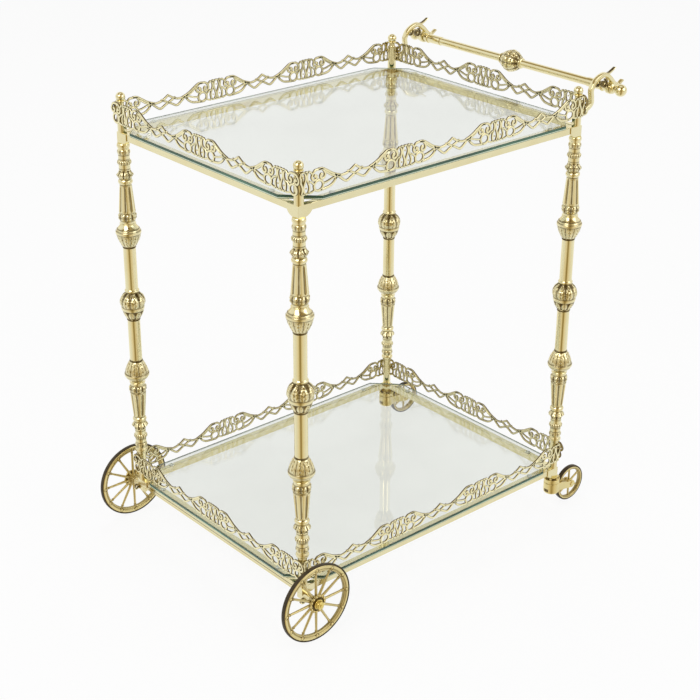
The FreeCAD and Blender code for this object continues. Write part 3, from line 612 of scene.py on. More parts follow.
def brass(name, finish, clean, clouded, roughness, ripple):
    """Brass of two tones in clouds, with patina where the relief is deep, painted shade where a
    piece marks it, and fine wear.

    The attribute that a piece carries says how far down in the relief a point lies, and how much
    painted shade it has. roughness is that of the cleanest spots, and ripple is the strength of the
    grain.
    """
    tree, shader, _, where = principled(name, {"Metallic": 1.0})
    clouds = noise(tree, where, 22, 4)
    wear = noise(tree, where, 95, 5)
    attribute = tree.nodes.new("ShaderNodeAttribute")
    attribute.attribute_name = "patina_and_shade"
    patina_and_shade_fac = attribute.outputs["Fac"]
    colour = mixed(tree, spread(tree, clouds, 0.42, 0.72, 0.0, 0.55), clean, clouded)
    # share of the dark colour: patina in the relief, and painted shade where a piece marks it,
    # scaled a little by the wear noise
    patina_and_shade_share = reckoned(tree, "MULTIPLY", patina_and_shade_fac, spread(tree, wear, 0.3, 0.6, 0.75, 1.0))
    rough = reckoned(tree, "ADD", spread(tree, wear, 0.3, 0.7, roughness, roughness + 0.07),
                     spread(tree, patina_and_shade_fac, 0.2, 1.0, 0.0, 0.22))
    dressed(tree, shader, mixed(tree, patina_and_shade_share, colour, finish.patina_and_shade_colour), rough)
    grained(tree, shader, noise(tree, where, 420, 3), ripple)


def clear_glass(name, tint):
    """Clear glass with faint smears, which lets the lamps' light through."""
    tree, shader, output, where = principled(name, {"Transmission Weight": 1.0, "IOR": GLASS_IOR})
    smear = noise(tree, where, 6, 2)
    clean = [min(1.0, 1.04 * c) for c in tint]
    dressed(tree, shader, mixed(tree, spread(tree, smear, 0.35, 0.65), tint, clean),
            spread(tree, smear, 0.45, 0.8, 0.0, 0.02))
    path = tree.nodes.new("ShaderNodeLightPath")
    through = tree.nodes.new("ShaderNodeBsdfTransparent")
    through.inputs["Color"].default_value = (0.93, 0.95, 0.94, 1)
    mix = tree.nodes.new("ShaderNodeMixShader")
    tree.links.new(path.outputs["Is Shadow Ray"], mix.inputs[0])
    tree.links.new(shader.outputs["BSDF"], mix.inputs[1])
    tree.links.new(through.outputs[0], mix.inputs[2])
    tree.links.new(mix.outputs[0], output.inputs["Surface"])


def edge_glass(name, colour, brighter):
    """Ground edge of the glass: one colour, with lighter runs where light comes along it."""
    tree, shader, _, where = principled(name, {"IOR": GLASS_IOR, "Specular IOR Level": 0.35})
    runs = noise(tree, where, 9, 3)
    light = [min(1.0, brighter * c) for c in colour]
    dressed(tree, shader, mixed(tree, spread(tree, runs, 0.45, 0.72), colour, light),
            spread(tree, runs, 0.3, 0.7, 0.16, 0.30))


def pale_plastic(name, light, cloudy):
    """Pale plastic of the pads, cloudy with two tones and a satin gloss."""
    tree, shader, _, where = principled(name, {})
    cloud = noise(tree, where, 300, 3)
    dressed(tree, shader, mixed(tree, cloud, light, cloudy),
            spread(tree, cloud, 0.3, 0.7, 0.25, 0.4))


def rubber(name, colour):
    """Black rubber with a dusty bloom and a fine grain."""
    tree, shader, _, where = principled(name, {"Specular IOR Level": 0.25})
    dust = noise(tree, where, 60, 4)
    bloom = [min(1.0, 2.0 * c) for c in colour]
    dressed(tree, shader, mixed(tree, spread(tree, dust, 0.45, 0.7, 0.0, 0.8), colour, bloom),
            spread(tree, dust, 0.3, 0.7, 0.38, 0.55))
    grained(tree, shader, noise(tree, where, 900, 2), 0.25)


def steel(name):
    """Plain drawn steel for the hidden rods and nuts."""
    tree, shader, _, where = principled(name, {"Metallic": 1.0})
    drawn = noise(tree, where, 160, 4)
    dressed(tree, shader,
            mixed(tree, spread(tree, drawn, 0.35, 0.65), (0.42, 0.42, 0.43), (0.60, 0.60, 0.61)),
            spread(tree, drawn, 0.3, 0.7, 0.28, 0.42))


BY_SLOT = {"brass": "polished_brass", "glass": "shelf_glass", "clear_pad": "pad_plastic",
           "tyre": "tyre_rubber", "steel": "plain_steel"}


class TROLLEY_OT_finishes(bpy.types.Operator):
    """Make every finish, and give each frame node that stays in sight its own."""
    bl_idname = "trolley.finishes"
    bl_label = "Finishes"

    def execute(self, context):
        finish = context.scene.trolley_finish
        aged, gilt = finish.aged_brass, finish.gilt
        brass("polished_brass", finish, finish.brass, finish.warm_brass, 0.10, 0.12)
        brass("cast_brass", finish, finish.brass, finish.warm_brass, 0.13, 0.30)
        brass("pale_brass", finish, finish.pale_brass, finish.brass, 0.13, 0.30)
        brass("aged_brass", finish, aged, [0.80 * c for c in aged], 0.27, 0.30)
        brass("gilt_brass", finish, gilt, [0.85 * c for c in gilt], 0.12, 0.12)
        clear_glass("shelf_glass", (0.775, 0.795, 0.755))
        pale_plastic("pad_plastic", (0.86, 0.87, 0.76), (0.74, 0.76, 0.64))
        edge_glass("glass_edge", finish.glass, 2.0)
        # painted reflection: the pale line low on the glass's edge
        edge_glass("glass_bevel", (0.66, 0.74, 0.56), 1.2)
        rubber("tyre_rubber", finish.rubber)
        steel("plain_steel")
        for entry in frame["record"]["subparts"]:
            node = frame["nodes"][entry["node"]]
            node.data.materials.clear()
            node.data.materials.append(bpy.data.materials[BY_SLOT[entry["material_slot"]]])
        frame["nodes"]["caster_stems"].data.materials[0] = bpy.data.materials["aged_brass"]
        return {"FINISHED"}


# ---- Legs: heights and radii in millimetres ----

# Outline of the leg casting, as (height from its tube end, radius, swell).
BALUSTER = [
    (0, 10.4, 0), (3.0, 10.6, 0.5), (3.8, 11.6, 0), (10.8, 15.4, 0.2), (17, 18.0, 0.2),
    (24.6, 19.8, 0.2), (25.2, 20.6, 0), (29.4, 20.6, 0.3), (30.4, 19.6, 0), (33.0, 18.6, 0),
    (41, 12.4, -0.4), (43.6, 12.2, 1.0), (47.5, 12.4, 0), (60, 12.6, 2.4), (61.5, 13.5, 0),
    (104, 10, 0), (108, 9.4, 0), (117, 9.4, 2.3), (124, 13.7, 0), (133, 9.2, -1.2),
    (140.7, 9.2, 0), (148.7, 9.2, 2.2), (157.9, 9.2, 0), (165.9, 9.2, 1.3), (168, 9.2, 0),
    (176, 9.2, 1.3),
]
BALUSTER_SEAMS = (24.9, 30.2, 33.8, 47.5, 60.8, 107.5, 117.3, 134, 150, 157)
KNOB_ROW = 6.2          # height of one row of the lumps above the cup
BALL_RELIEF = 1.3       # relief of the leg balls, as a share of the leaf relief
BELT_FOOT = -2.8        # height on a leg ball where the crown of leaves starts
CUP_TOP = -9.4          # height on a leg ball where the carved cup ends


def baluster_relief(legs):
    """Relief of the leg casting: leaves on the cup and bell, lobes, flutes and a slotted skirt."""
    leaf_out = legs.leaf_relief / MM
    groove = legs.flute_depth / MM

    def relief(h, a):
        cup = (h - 4.0) / 21.0
        leaves = np.maximum(leaf(0.98 * cup, a, legs.petals, 0.5),
                            0.8 * leaf(0.62 * cup, a, legs.petals))
        on_cup = between(h, 4.0, 24.8)
        lumps = between(h, 48, 59.8, 1.5)
        rows = np.abs(np.sin(np.pi * (h - 47.5) / KNOB_ROW))
        knob = gadroon(a, legs.petals, 0.5) * (0.45 + 0.55 * rows)
        bell = between(h, 118.5, 132, 1.2)
        bell_leaf = leaf((h - 118) / 15.0, a, legs.petals)
        skirt = between(h, 140.5, 149, 1.0)
        slots = gadroon(a, 2 * legs.petals)
        small = between(h, 158.2, 165.6, 1.0)
        lobes = gadroon(a, legs.petals)
        fluted = flute(h, a, legs.flutes, 62.5, 106)
        out = (leaf_out * (leaves - 0.75) * on_cup
               + 1.3 * leaf_out * (knob - 0.75) * lumps
               - groove * fluted
               + 0.8 * leaf_out * (bell_leaf - 0.7) * bell
               + 0.9 * (slots - 0.8) * skirt
               + 0.5 * (lobes - 0.8) * small)
        lines = seams(h, BALUSTER_SEAMS) + tube_end(h, 0, 3.8)
        patina_and_shade = (gap(leaves) * on_cup + 1.4 * (1 - knob) ** 1.4 * lumps
                 + 0.9 * fluted ** 2 + gap(bell_leaf) * bell
                 + (1 - slots) * skirt + (1 - lobes) * small + 0.85 * lines)
        return out, np.clip(patina_and_shade, 0, 1)

    return relief


def leg_ball(length, petals, out_by, sides):
    """Ball of a leg, centred on Z: a crown of leaves, a plain belt and a carved cup under it."""
    end = length / 2
    stations = [(-end, 10.4, 0), (-end + 3.6, 10.6, 0.7), (-end + 4.2, 11.2, 0), (-20, 13.8, 0.3),
                (-14, 16.6, 0.3), (-9.6, 17.9, 0), (-9.0, 18.3, 0), (-3.6, 18.9, 0.5),
                (BELT_FOOT, 18.6, 0), (1.5, 20.3, 0), (6, 20.7, 0.4), (12, 19.0, 0.5),
                (17.5, 15.2, 0.5), (end - 6.6, 11.4, 0), (end - 6.0, 10.6, 0),
                (end - 0.6, 10.6, 1.5), (end, 10.4, 0)]

    def relief(h, a):
        crown = between(h, BELT_FOOT, end - 6.6, 1.2)
        t = (h - BELT_FOOT) / (end - 3.8)
        tall = np.maximum(leaf(t, a, petals), 0.7 * leaf(1.7 * t, a, petals, 0.5))
        cup = between(h, -end + 4.0, CUP_TOP, 1.0)
        low = (CUP_TOP - h) / (end - 13.4)
        swirl = np.maximum(leaf(1.0 - low, a, petals, 0.5),
                           0.8 * leaf(1.4 - 1.7 * low, a, 2 * petals))
        out = out_by * ((tall - 0.75) * crown + 0.7 * (swirl - 0.75) * cup)
        lines = seams(h, (-end + 4, CUP_TOP, -2.9, end - 6.4)) + tube_end(h, -end, 3.4)
        patina_and_shade = gap(tall) * crown + gap(swirl) * cup + 0.9 * lines
        return out, np.clip(patina_and_shade, 0, 1)

    return turned(stations, sides, relief)


def handle_ball(length, petals, out_by, sides):
    """Ball of the handle, centred on Z: two rows of leaves that meet at a belt of knots."""
    end = length / 2
    stations = [(-end, 6.8, 0), (-end + 5, 6.8, 2.4), (-end + 5.6, 7.6, 0), (-12, 14.6, 0.9),
                (-5, 17.6, 0.5), (-3.6, 17.2, 0), (3.6, 17.2, 1.6), (5, 17.6, 0), (12, 14.6, 0.5),
                (end - 5.6, 7.6, 0.9), (end - 5, 6.8, 0), (end, 6.8, 2.4)]

    def relief(h, a):
        from_middle = np.abs(h)
        rows = between(from_middle, 4.0, end - 5.4, 1.0)
        t = (from_middle - 3.4) / (end - 8.6)
        leaves = np.maximum(leaf(t, a, petals), 0.7 * leaf(1.6 * t, a, petals, 0.5))
        belt = between(h, -3.8, 3.8, 1.0)
        knots = gadroon(a, petals, 0.5)
        shape = leaves * rows + knots * belt
        lines = seams(from_middle, (4.1,), 0.7) + seams(from_middle, (end - 5.2,))
        patina_and_shade = gap(leaves) * rows + (1 - knots) ** 1.5 * belt + 0.9 * lines
        return out_by * (shape - 0.75) * (rows + belt), np.clip(patina_and_shade, 0, 1)

    return turned(stations, sides, relief)


class TROLLEY_OT_legs(bpy.types.Operator):
    """Cast ornament of the legs: eight balusters and four balls."""
    bl_idname = "trolley.legs"
    bl_label = "Legs"

    def execute(self, context):
        legs = context.scene.trolley_legs
        casting = turned(BALUSTER, legs.sides, baluster_relief(legs))
        flipped = moved(casting, np.diag([1, 1, -1]))
        ball_low, ball_high = millimetres("leg_balls")
        ball = leg_ball(ball_high[2] - ball_low[2], legs.petals,
                        BALL_RELIEF * legs.leaf_relief / MM, legs.sides)
        balls = []
        for corner in CORNERS:
            for tier, shape in (("upper", casting), ("lower", flipped)):
                node = f"{tier}_baluster_{corner}"
                low, high = millimetres(node)
                x, y, _ = (low + high) / 2
                foot = low[2] if tier == "upper" else high[2]
                piece(f"{tier}_leg_casting_{corner}", [moved(shape, shift=(x, y, foot))],
                      FRAME_BODY, "cast_brass", nodes=(node,))
            balls.append(moved(ball, shift=(x, y, (ball_low[2] + ball_high[2]) / 2)))
        piece("leg_ball_castings", balls, FRAME_BODY, "cast_brass", nodes=("leg_balls",))
        return {"FINISHED"}


# ---- Galleries: sizes in millimetres ----

STRAND_DEPTH = 0.92     # thickness of a strand, as a share of the strip's
SHADED_ROUGH_BACK = 0.30       # painted shade on the strands' backs, which face in, and a little roughness there
END_CLEARANCE = 1       # how far the strands stay from a strip's ends
RING_AT = 28.0          # the ring's and the horns' place along the pattern
# Points of a horn: how far from that place, and how far up, or below 0 how far under the top.
HORN = [(6.5, -2.2), (11.2, 28.5), (11.8, 23.5), (8.6, 19.6), (4.4, 20.6), (3.2, 24.2),
        (5.4, 26.8), (7.6, 25.2)]


def gallery_motif(height, steps):
    """Strands of half a pattern, from its middle (0) outward, as (line, width share, closed).

    u runs along the strip and h up it. A braid of sine waves stands at the middle, then comes
    a scroll of a ring under two curled horns, and then straps that cross into three diamonds.
    """
    t = np.linspace(0, 1, 25)
    rise = 1.6 + (height - 3.2) * t
    weave = 2.1 * np.sin(2 * np.pi * t)
    top = height - 1.5
    strands = [(np.stack([3.2 - weave, rise], axis=-1), 0.95, False),
               (np.stack([9.5 + weave, rise], axis=-1), 0.95, False)]

    def add(share, *points):
        strands.append((curve(points, steps), share, False))

    add(0.8, (0, top + 0.6), (1.8, top + 0.4), (3.2, top - 0.8))
    add(0.8, (0, 0.9), (1.8, 1.1), (3.2, 2.3))
    add(0.8, (3.2, top - 0.8), (6.4, top + 0.7), (9.5, top - 0.8))
    add(0.8, (3.2, 2.3), (6.4, 0.8), (9.5, 2.3))
    add(0.8, (9.5, top - 0.8), (12.6, top - 0.4), (16.6, height - 6.5))
    add(0.8, (9.5, 2.3), (13.5, 1.2), (20.5, 3.6))
    add(0.8, (9.5, 18.3), (13.5, 18.6), (19.5, 13.0))
    strands.append((spiral((RING_AT, 9.6), 8.2, 8.2, 90, 345, 29), 1.0, True))
    for side in (-1, 1):
        horn = [(RING_AT + side * u, h if h > 0 else height + h) for u, h in HORN]
        add(1.0, (RING_AT, height - 1.4), *horn)
    add(1.0, (RING_AT, height - 0.9), (36, height - 1.8), (45, 29.0), (53, 23.5), (61, 19.5),
        (68, 17))
    add(0.8, (40.5, 29), (45, 25.5), (52, 20.5), (61, 17.5))
    add(0.8, (36.5, 11), (44, 12.2), (52, 14.8), (61, 17.5))
    add(1.0, (31, 1.6), (40, 2.4), (49, 4.2), (56, 9.0), (61, 15.5))
    add(1.0, (57, 21), (62, 17.5), (73, 16.2), (84, 19.0), (95.2, 26.2))
    add(1.0, (58, 13), (63, 16.5), (68.5, 12.0), (78.5, 5.0), (89, 10.0), (97, 14.2), (108.5, 20))
    return strands


def gallery_strip(start, end, height, gallery):
    """All the strands of a strip from start to end, where 0 is a pattern's middle.

    The half pattern is mirrored about every middle, squeezed to leave the lift free under it.
    Strands that pass an end are left out. The strip's +Y face is its back.
    """
    lift = gallery.lift / MM
    squeeze = 1 - lift / height
    repeat = gallery.repeat / MM
    width = gallery.strand / MM
    thickness = gallery.thickness / MM
    bosses = [(RING_AT, 18.3, 2.3), (61.5, 17.2, 2.6), (RING_AT - 5.6, 24.4, 1.9),
              (RING_AT + 5.6, 24.4, 1.9), (95.0, 13.2, 1.8), (84.0, 19.2, 1.8),
              (6.4, height / 4 + 0.6, 1.3), (0, height * 0.75, 1.3)]
    motif = gallery_motif(height, gallery.steps)
    parts = []
    for count in range(math.floor(start / repeat) - 1, math.ceil(end / repeat) + 2):
        for side in (-1, 1):
            for line, share, closed in motif:
                u = count * repeat + side * line[:, 0]
                if u.min() < start + END_CLEARANCE or u.max() > end - END_CLEARANCE:
                    continue
                strand = np.stack([u, lift + squeeze * line[:, 1]], axis=-1)
                parts.append(strap(strand, width * share, thickness * STRAND_DEPTH,
                                   closed=closed, back=SHADED_ROUGH_BACK))
            for along, up, radius in bosses:
                u = count * repeat + side * along
                if start + radius < u < end - radius:
                    parts.append(bead((u, 0, lift + squeeze * up), (radius, thickness / 2, radius)))
    return parts


class TROLLEY_OT_galleries(bpy.types.Operator):
    """Scrollwork of the galleries: a pair of sides and a pair of ends on each tier."""
    bl_idname = "trolley.galleries"
    bl_label = "Galleries"

    def execute(self, context):
        gallery = context.scene.trolley_gallery
        half = gallery.thickness / MM / 2
        middle = centre_of("upper_baluster_front_right")[0]
        for tier in TIERS:
            sides, ends = f"{tier}_gallery_sides", f"{tier}_gallery_ends"
            low, high = millimetres(sides)
            ends_low, ends_high = millimetres(ends)
            height = high[2] - low[2]
            strip = gallery_strip(low[0] - middle, high[0] - middle, height, gallery)
            parts = [moved(part, np.diag([1, -side, 1]), (middle, side * (high[1] - half), low[2]))
                     for side in (-1, 1) for part in strip]
            piece(f"{tier}_side_scrollwork", parts, FRAME_BODY, "pale_brass", nodes=(sides,))
            strip = gallery_strip(ends_low[1], ends_high[1], height, gallery)
            parts = [moved(part, ALONG_Y @ np.diag([1, side, 1]), (x, 0, low[2]))
                     for side, x in ((-1, ends_low[0] + half), (1, ends_high[0] - half))
                     for part in strip]
            piece(f"{tier}_end_scrollwork", parts, FRAME_BODY, "pale_brass", nodes=(ends,))
        return {"FINISHED"}


# ---- Glass ----

CORNER_CUT = 40.0           # millimetres along each side that a shelf's corner is cut off
EDGE_BEVEL = 0.42           # width of the bevels
OVERHANG = 2.5              # how much further than the frame node the glass reaches
EXTRA_THICKNESS = 1.0       # how much thicker it is
GLASS_FINISHES = ("shelf_glass", "glass_edge", "glass_bevel")
EDGE_ROWS = (1, 1, 2, 1, 0)     # finish of each row of the edge, from the bottom: the light line is a painted reflection, and the dark rows under it are painted shade of the gap over the rail
PAD_CLEARANCE = 0.08 * MM   # gap between a pad's faces and its neighbours


def glass_plate(name, node):
    """Plate with its four corners cut off and its edges bevelled, in place of a frame node.

    Rings of eight points, set in at the two faces, are joined into rows. From the bottom the rows
    are a dark bevel and a dark line, which are painted shade of the gap over the rail, a light
    line, which is a painted reflection, a dark band, and a clear bevel.
    """
    low, high = millimetres(node)
    high[2] += EXTRA_THICKNESS
    centre = (low + high) / 2
    half = (high - low) / 2 + OVERHANG
    cut = CORNER_CUT + 2 * OVERHANG

    def ring(inset, z):
        x, y = half[0] - inset, half[1] - inset
        c = cut - inset * (2 - math.sqrt(2))
        corners = [(x, y - c), (x - c, y), (c - x, y), (-x, y - c),
                   (-x, c - y), (c - x, -y), (x - c, -y), (x, c - y)]
        return [((centre[0] + u) * MM, (centre[1] + v) * MM, z * MM) for u, v in corners]

    points = [*ring(EDGE_BEVEL, low[2]), *ring(0, low[2] + EDGE_BEVEL),
              *ring(0, low[2] + 2 * EDGE_BEVEL), *ring(0, low[2] + 5 * EDGE_BEVEL),
              *ring(0, high[2] - EDGE_BEVEL), *ring(EDGE_BEVEL, high[2])]
    top = len(points) - 8
    faces = [tuple(range(7, -1, -1)), tuple(range(top, top + 8))]
    numbers = [0, 0]
    for row, number in enumerate(EDGE_ROWS):
        for i in range(8):
            j = (i + 1) % 8
            faces.append((row * 8 + i, row * 8 + j, row * 8 + 8 + j, row * 8 + 8 + i))
            numbers.append(number)
    mesh = bpy.data.meshes.new(name)
    mesh.from_pydata(points, [], faces)
    settle(bpy.data.objects.new(name, mesh), FRAME_BODY, GLASS_FINISHES[0], (node,))
    for finish in GLASS_FINISHES[1:]:
        mesh.materials.append(bpy.data.materials[finish])
    mesh.polygons.foreach_set("material_index", numbers)
    if mesh.validate():
        raise RuntimeError(f"{name} has broken faces")


def part_faces(mesh, clearance):
    """Draw flat discs in from their neighbours: each second level of their points sinks a little.

    Points are sorted by height into levels, which are by turns a bottom (up) and a top (down).
    """
    points = np.empty(3 * len(mesh.vertices), np.float32)
    mesh.vertices.foreach_get("co", points)
    height = np.round(points[2::3], 5)
    level = np.searchsorted(np.unique(height), height)
    points[2::3] += np.where(level % 2 == 0, clearance, -clearance)
    mesh.vertices.foreach_set("co", points)
    mesh.update()


class TROLLEY_OT_glass(bpy.types.Operator):
    """Glass shelves with cut corners and bevelled green edges, and the pads under them."""
    bl_idname = "trolley.glass"
    bl_label = "Glass"

    def execute(self, context):
        for tier in TIERS:
            glass_plate(f"{tier}_shelf_plate", f"{tier}_glass")
        pads = softened("shelf_pads", "glass_pads", FRAME_BODY, "pad_plastic", 0.2 * MM)
        part_faces(pads.data, PAD_CLEARANCE)
        return {"FINISHED"}


# ---- Handle: sizes in millimetres ----

ARM_DROP, ARM_RISE = 23.0, 24.0     # how far the arm goes below and above the bar's axis
EYE_RADIUS = 6.85                   # hole of the ring that holds the bar
# Points of the arm, as (share of the way from the foot to the bar, share of the drop or rise).
ARM = [(0, -1), (0.08, -1.15), (0.31, -0.80), (0.32, -0.30), (0.30, 0.17), (0.40, 0.65),
       (0.60, 0.96), (0.78, 1.0), (0.95, 0.69)]
ARM_TIP = [(0.27, 0.27), (0.60, 0.10), (0.95, 0.34)]    # the same from the bar to the tip
ARM_CURLS = [((0.50, 0.60), 150, 430), ((0.74, 0.42), 60, -400)]    # point, start and turn


def handle_arm(low, high, axis, thickness):
    """Scrolled arm in the XZ plane about the bar: strap, two inner curls darkened as painted shade,
    and two leaf tips.

    low and high are the corners of the arm's frame node, and axis is a point on the bar's axis.
    """
    out, tip = axis[0] - low[0], high[0] - axis[0]

    def before(share, level):
        rise = ARM_RISE if level > 0 else ARM_DROP
        return low[0] + share * out, axis[2] + level * rise

    def after(share, level):
        return axis[0] + share * tip, axis[2] + level * ARM_RISE

    line = curve([before(*at) for at in ARM] + [after(*at) for at in ARM_TIP], 8)
    width = 7.6 - 4.8 * step(np.linspace(0, 1, len(line)), 0.70, 1.0)
    parts = [darkened(strap(line, width, thickness, 12, power=5), 0.0)]
    tip_line = curve([before(0.70, 1.02), before(0.88, 1.04), after(-0.02, 1.16),
                      (axis[0] + 0.25 * tip, high[2] - 1.0)], 8)
    parts.append(strap(tip_line, np.linspace(4.6, 1.8, len(tip_line)), thickness * 0.8, 10))
    for at, start, turn in ARM_CURLS:
        x, z = before(*at)
        curl = spiral((x, z), 7.2, 2.2, start, turn)
        curl = strap(curl, np.linspace(3.4, 2.4, len(curl)), thickness * 0.8)
        # painted shade: the inner curls are darkened all over
        parts.append(darkened(curl, 0.85))
        parts.append(bead((x, 0, z), (2.6, thickness * 0.46, 2.6), 7, 12))
    heel = spiral((low[0] + 6.5, axis[2] - 1.15 * ARM_DROP), 7.0, 2.4, 200, 420)
    parts.append(strap(heel, np.linspace(3.6, 2.6, len(heel)), thickness * 0.8))
    eye = hoop([(r + EYE_RADIUS, h) for r, h in rounded(0, 3.0, thickness, 4, 12)], 32)
    parts.append(moved(eye, TO_PLUS_Y, (axis[0], 0, axis[2])))
    return parts


class TROLLEY_OT_handle(bpy.types.Operator):
    """Push handle: the ball casting in its middle and the two scrolled arms."""
    bl_idname = "trolley.handle"
    bl_label = "Handle"

    def execute(self, context):
        legs = context.scene.trolley_legs
        low, high = millimetres("handle_ball")
        axis = (low + high) / 2
        ball = handle_ball(high[1] - low[1], legs.petals, legs.leaf_relief / MM, legs.sides)
        piece("handle_ball_casting", [moved(ball, TO_PLUS_Y, axis)], FRAME_BODY, "cast_brass",
              nodes=("handle_ball",))
        for side in SIDES:
            node = f"handle_arm_{side}"
            low, high = millimetres(node)
            arm = handle_arm(low, high, axis, high[1] - low[1])
            place = (0, (low[1] + high[1]) / 2, 0)
            piece(f"handle_scroll_{side}", [moved(part, shift=place) for part in arm],
                  FRAME_BODY, "cast_brass", nodes=(node,))
        return {"FINISHED"}


# ---- Wheels: sizes in millimetres ----

RIM_HEIGHT = 9.0            # of a large wheel's rim, from its inner edge to the rubber
SMALL_RIM_HEIGHT = 5
BOSS_RADIUS = 3.0           # of the bosses where the spokes meet the rim
BOSS_DEPTH = 4.4            # how far outside the rim's inner edge they stand
NECK_HEIGHT = 61.2          # of the lugs round the casters' necks
# Half a rim's section: (share of the rim's height, share of half its width, depth of relief).
RIM = [(0, 0.55, 0.6), (0.10, 0.80, 0.3), (0.22, 0.88, 0.2), (0.30, 0.70, 0.5), (0.42, 0.70, 0.5),
       (0.52, 0.96, 0.1), (0.66, 1, 0), (0.82, 1, 0), (0.92, 0.90, 0.1), (1, 0.72, 0.3)]


def moulded_rim(inner, outer, width, sides):
    """Ring with two rounded edges and a raised band between them, mirrored about its middle."""
    side = [(inner + (outer - inner) * up, width / 2 * across) for up, across, _ in RIM]
    patina_and_shade = [patina_and_shade_fac for _, _, patina_and_shade_fac in RIM]
    return hoop(side + [(r, -h) for r, h in reversed(side)], sides, patina_and_shade + patina_and_shade[::-1])


def spoked(hub_radius, rim_inner, count, phase, root, end, boss):
    """Tapering spokes from the hub to the rim, with a collar and a boss at the rim.

    root and end are a spoke's radii, and boss is the radius of its boss, or 0 for none.
    """
    parts = []
    for number in range(count):
        angle = 2 * math.pi * (number + phase) / count
        out = np.array([math.cos(angle), math.sin(angle), 0])
        spoke = taper(out * hub_radius * 0.6, out * (rim_inner + 1.2), root, end)
        parts.append(darkened(spoke, 0.22))
        if boss:
            at = out * (rim_inner + BOSS_DEPTH)
            parts.append(darkened(bead(out * (rim_inner - 3.2), (end * 1.4,) * 3, 7, 12), 0.5))
            parts.append(bead(at, (boss, boss, 1.38 * boss), 9, 14))
            ring = hoop(rounded(boss - 0.4, boss + 0.9, 7.4, 4, 10), 20)
            parts.append(darkened(moved(ring, shift=at), 0.7))
    return parts


def large_hub(inner_face, outer_face, beads):
    """Hub of a large wheel: a flanged barrel, darker behind its flange, a recess with a dark ring
    on its floor, and a ring of beads on a dark ring. The darkness on the barrel and both dark rings
    are painted shade.
    """
    barrel = [(-inner_face, 6.6, 0), (-inner_face + 1.5, 8.0, 0.3), (-3.4, 8.0, 0),
              (-2.6, 9.0, 0), (2.4, 9.0, 0), (2.6, 13.2, 0), (3.2, 15.0, 0.3),
              (outer_face - 0.8, 15.0, 0.5), (outer_face - 0.6, 12.2, 0),
              (outer_face - 2.6, 11.8, 0), (outer_face - 2.6, 6.8, 0)]
    # painted shade: the barrel behind the flange, a dark ring on the recess's floor and a dark ring
    # under the beads
    return [turned(barrel, 48, lambda h, a: (0 * h, 0.45 * (h < outer_face - 2.7))),
            collar(6.9, 11.9, 1.0, 1.0, (0, 0, outer_face - 2.3)),
            *bead_ring((0, 0, outer_face - 0.7), 13.4, (2.3, 2.3, 1.7), beads),
            collar(11.6, 15.2, 1.2, 0.9, (0, 0, outer_face - 1.3))]


def hub_cap(base, height):
    """Cap of a large wheel: a collar, a plain drum and a dome with a knob."""
    return turned([(base - 2.4, 7.0, 0), (base, 7.0, 0), (base + 0.8, 7.9, 0),
                   (base + 1.6, 7.9, 0.3), (base + 1.8, 7.0, 0), (base + height * 0.38, 7.0, 0),
                   (base + height * 0.44, 6.8, 0), (base + height * 0.84, 3.2, 1.4),
                   (base + height * 0.86, 2.4, 0), (base + height, 1.2, 0.7)], 40, spacing=0.5)


def tyre_size(node):
    """Centre, outer radius and width of a tyre's frame node."""
    low, high = millimetres(node)
    return (low + high) / 2, (high[2] - low[2]) / 2, high[1] - low[1]


class TROLLEY_OT_wheels(bpy.types.Operator):
    """Large spoked wheels with their tyres and hub caps."""
    bl_idname = "trolley.wheels"
    bl_label = "Wheels"

    def execute(self, context):
        wheels = context.scene.trolley_wheels
        for name, side in SIDES.items():
            centre, radius, width = tyre_size(f"tyre_{name}")
            rim_outer = radius - wheels.tyre / MM
            rim_inner = rim_outer - RIM_HEIGHT
            low, high = millimetres(f"wheel_{name}")
            outer_face = (high[1] - centre[1]) if side > 0 else (centre[1] - low[1])
            inner_face = (high[1] - low[1]) - outer_face
            parts = [moulded_rim(rim_inner, rim_outer, width, 144)]
            parts += spoked(8.0, rim_inner, wheels.spokes, 0, 2.5, 1.8, BOSS_RADIUS)
            parts += large_hub(inner_face, outer_face, wheels.beads)
            matrix = outward(side)
            body = f"wheel_{name}_body"
            piece(f"spoked_wheel_{name}", [moved(part, matrix, centre) for part in parts], body,
                  "aged_brass", nodes=(f"wheel_{name}",))
            tyre = hoop(rounded(rim_outer, radius, width, 3.2, 20), 160)
            piece(f"rubber_tyre_{name}", [moved(tyre, matrix, centre)], body, "tyre_rubber",
                  nodes=(f"tyre_{name}",))
            low, high = millimetres(f"hub_cap_{name}")
            cap = hub_cap(outer_face, high[1] - low[1])
            piece(f"domed_cap_{name}", [moved(cap, matrix, centre)], body, "gilt_brass",
                  nodes=(f"hub_cap_{name}",))
        return {"FINISHED"}


# ---- Casters: sizes in millimetres ----

PAINTED_OPENING_ANGLE = math.radians(20)      # half the painted opening's angle about the cup
PAINTED_OPENING_DROP = (16.0, 10.5)           # its bottom and top, below the cup's top


def painted_opening_plate(radius, bottom, top, half_angle):
    """Small curved plate on a cup's -X side: a closed strip of a thin cylinder wall about Z.
    Darkened all over, it is painted shade that stands for an opening in the cup.
    """
    angle = np.pi + np.linspace(-half_angle, half_angle, 10)[:, None]
    r = radius + np.array([-0.6, -0.6, 0.12, 0.12])[None, :]
    z = np.array([bottom, top, top, bottom])[None, :] + 0 * angle
    points = np.stack([r * np.cos(angle), r * np.sin(angle), z], axis=-1)
    middle = np.repeat(points.mean(axis=1, keepdims=True), 4, axis=1)
    return sheet(np.concatenate([middle[:1], points, middle[-1:]]), close_v=True)


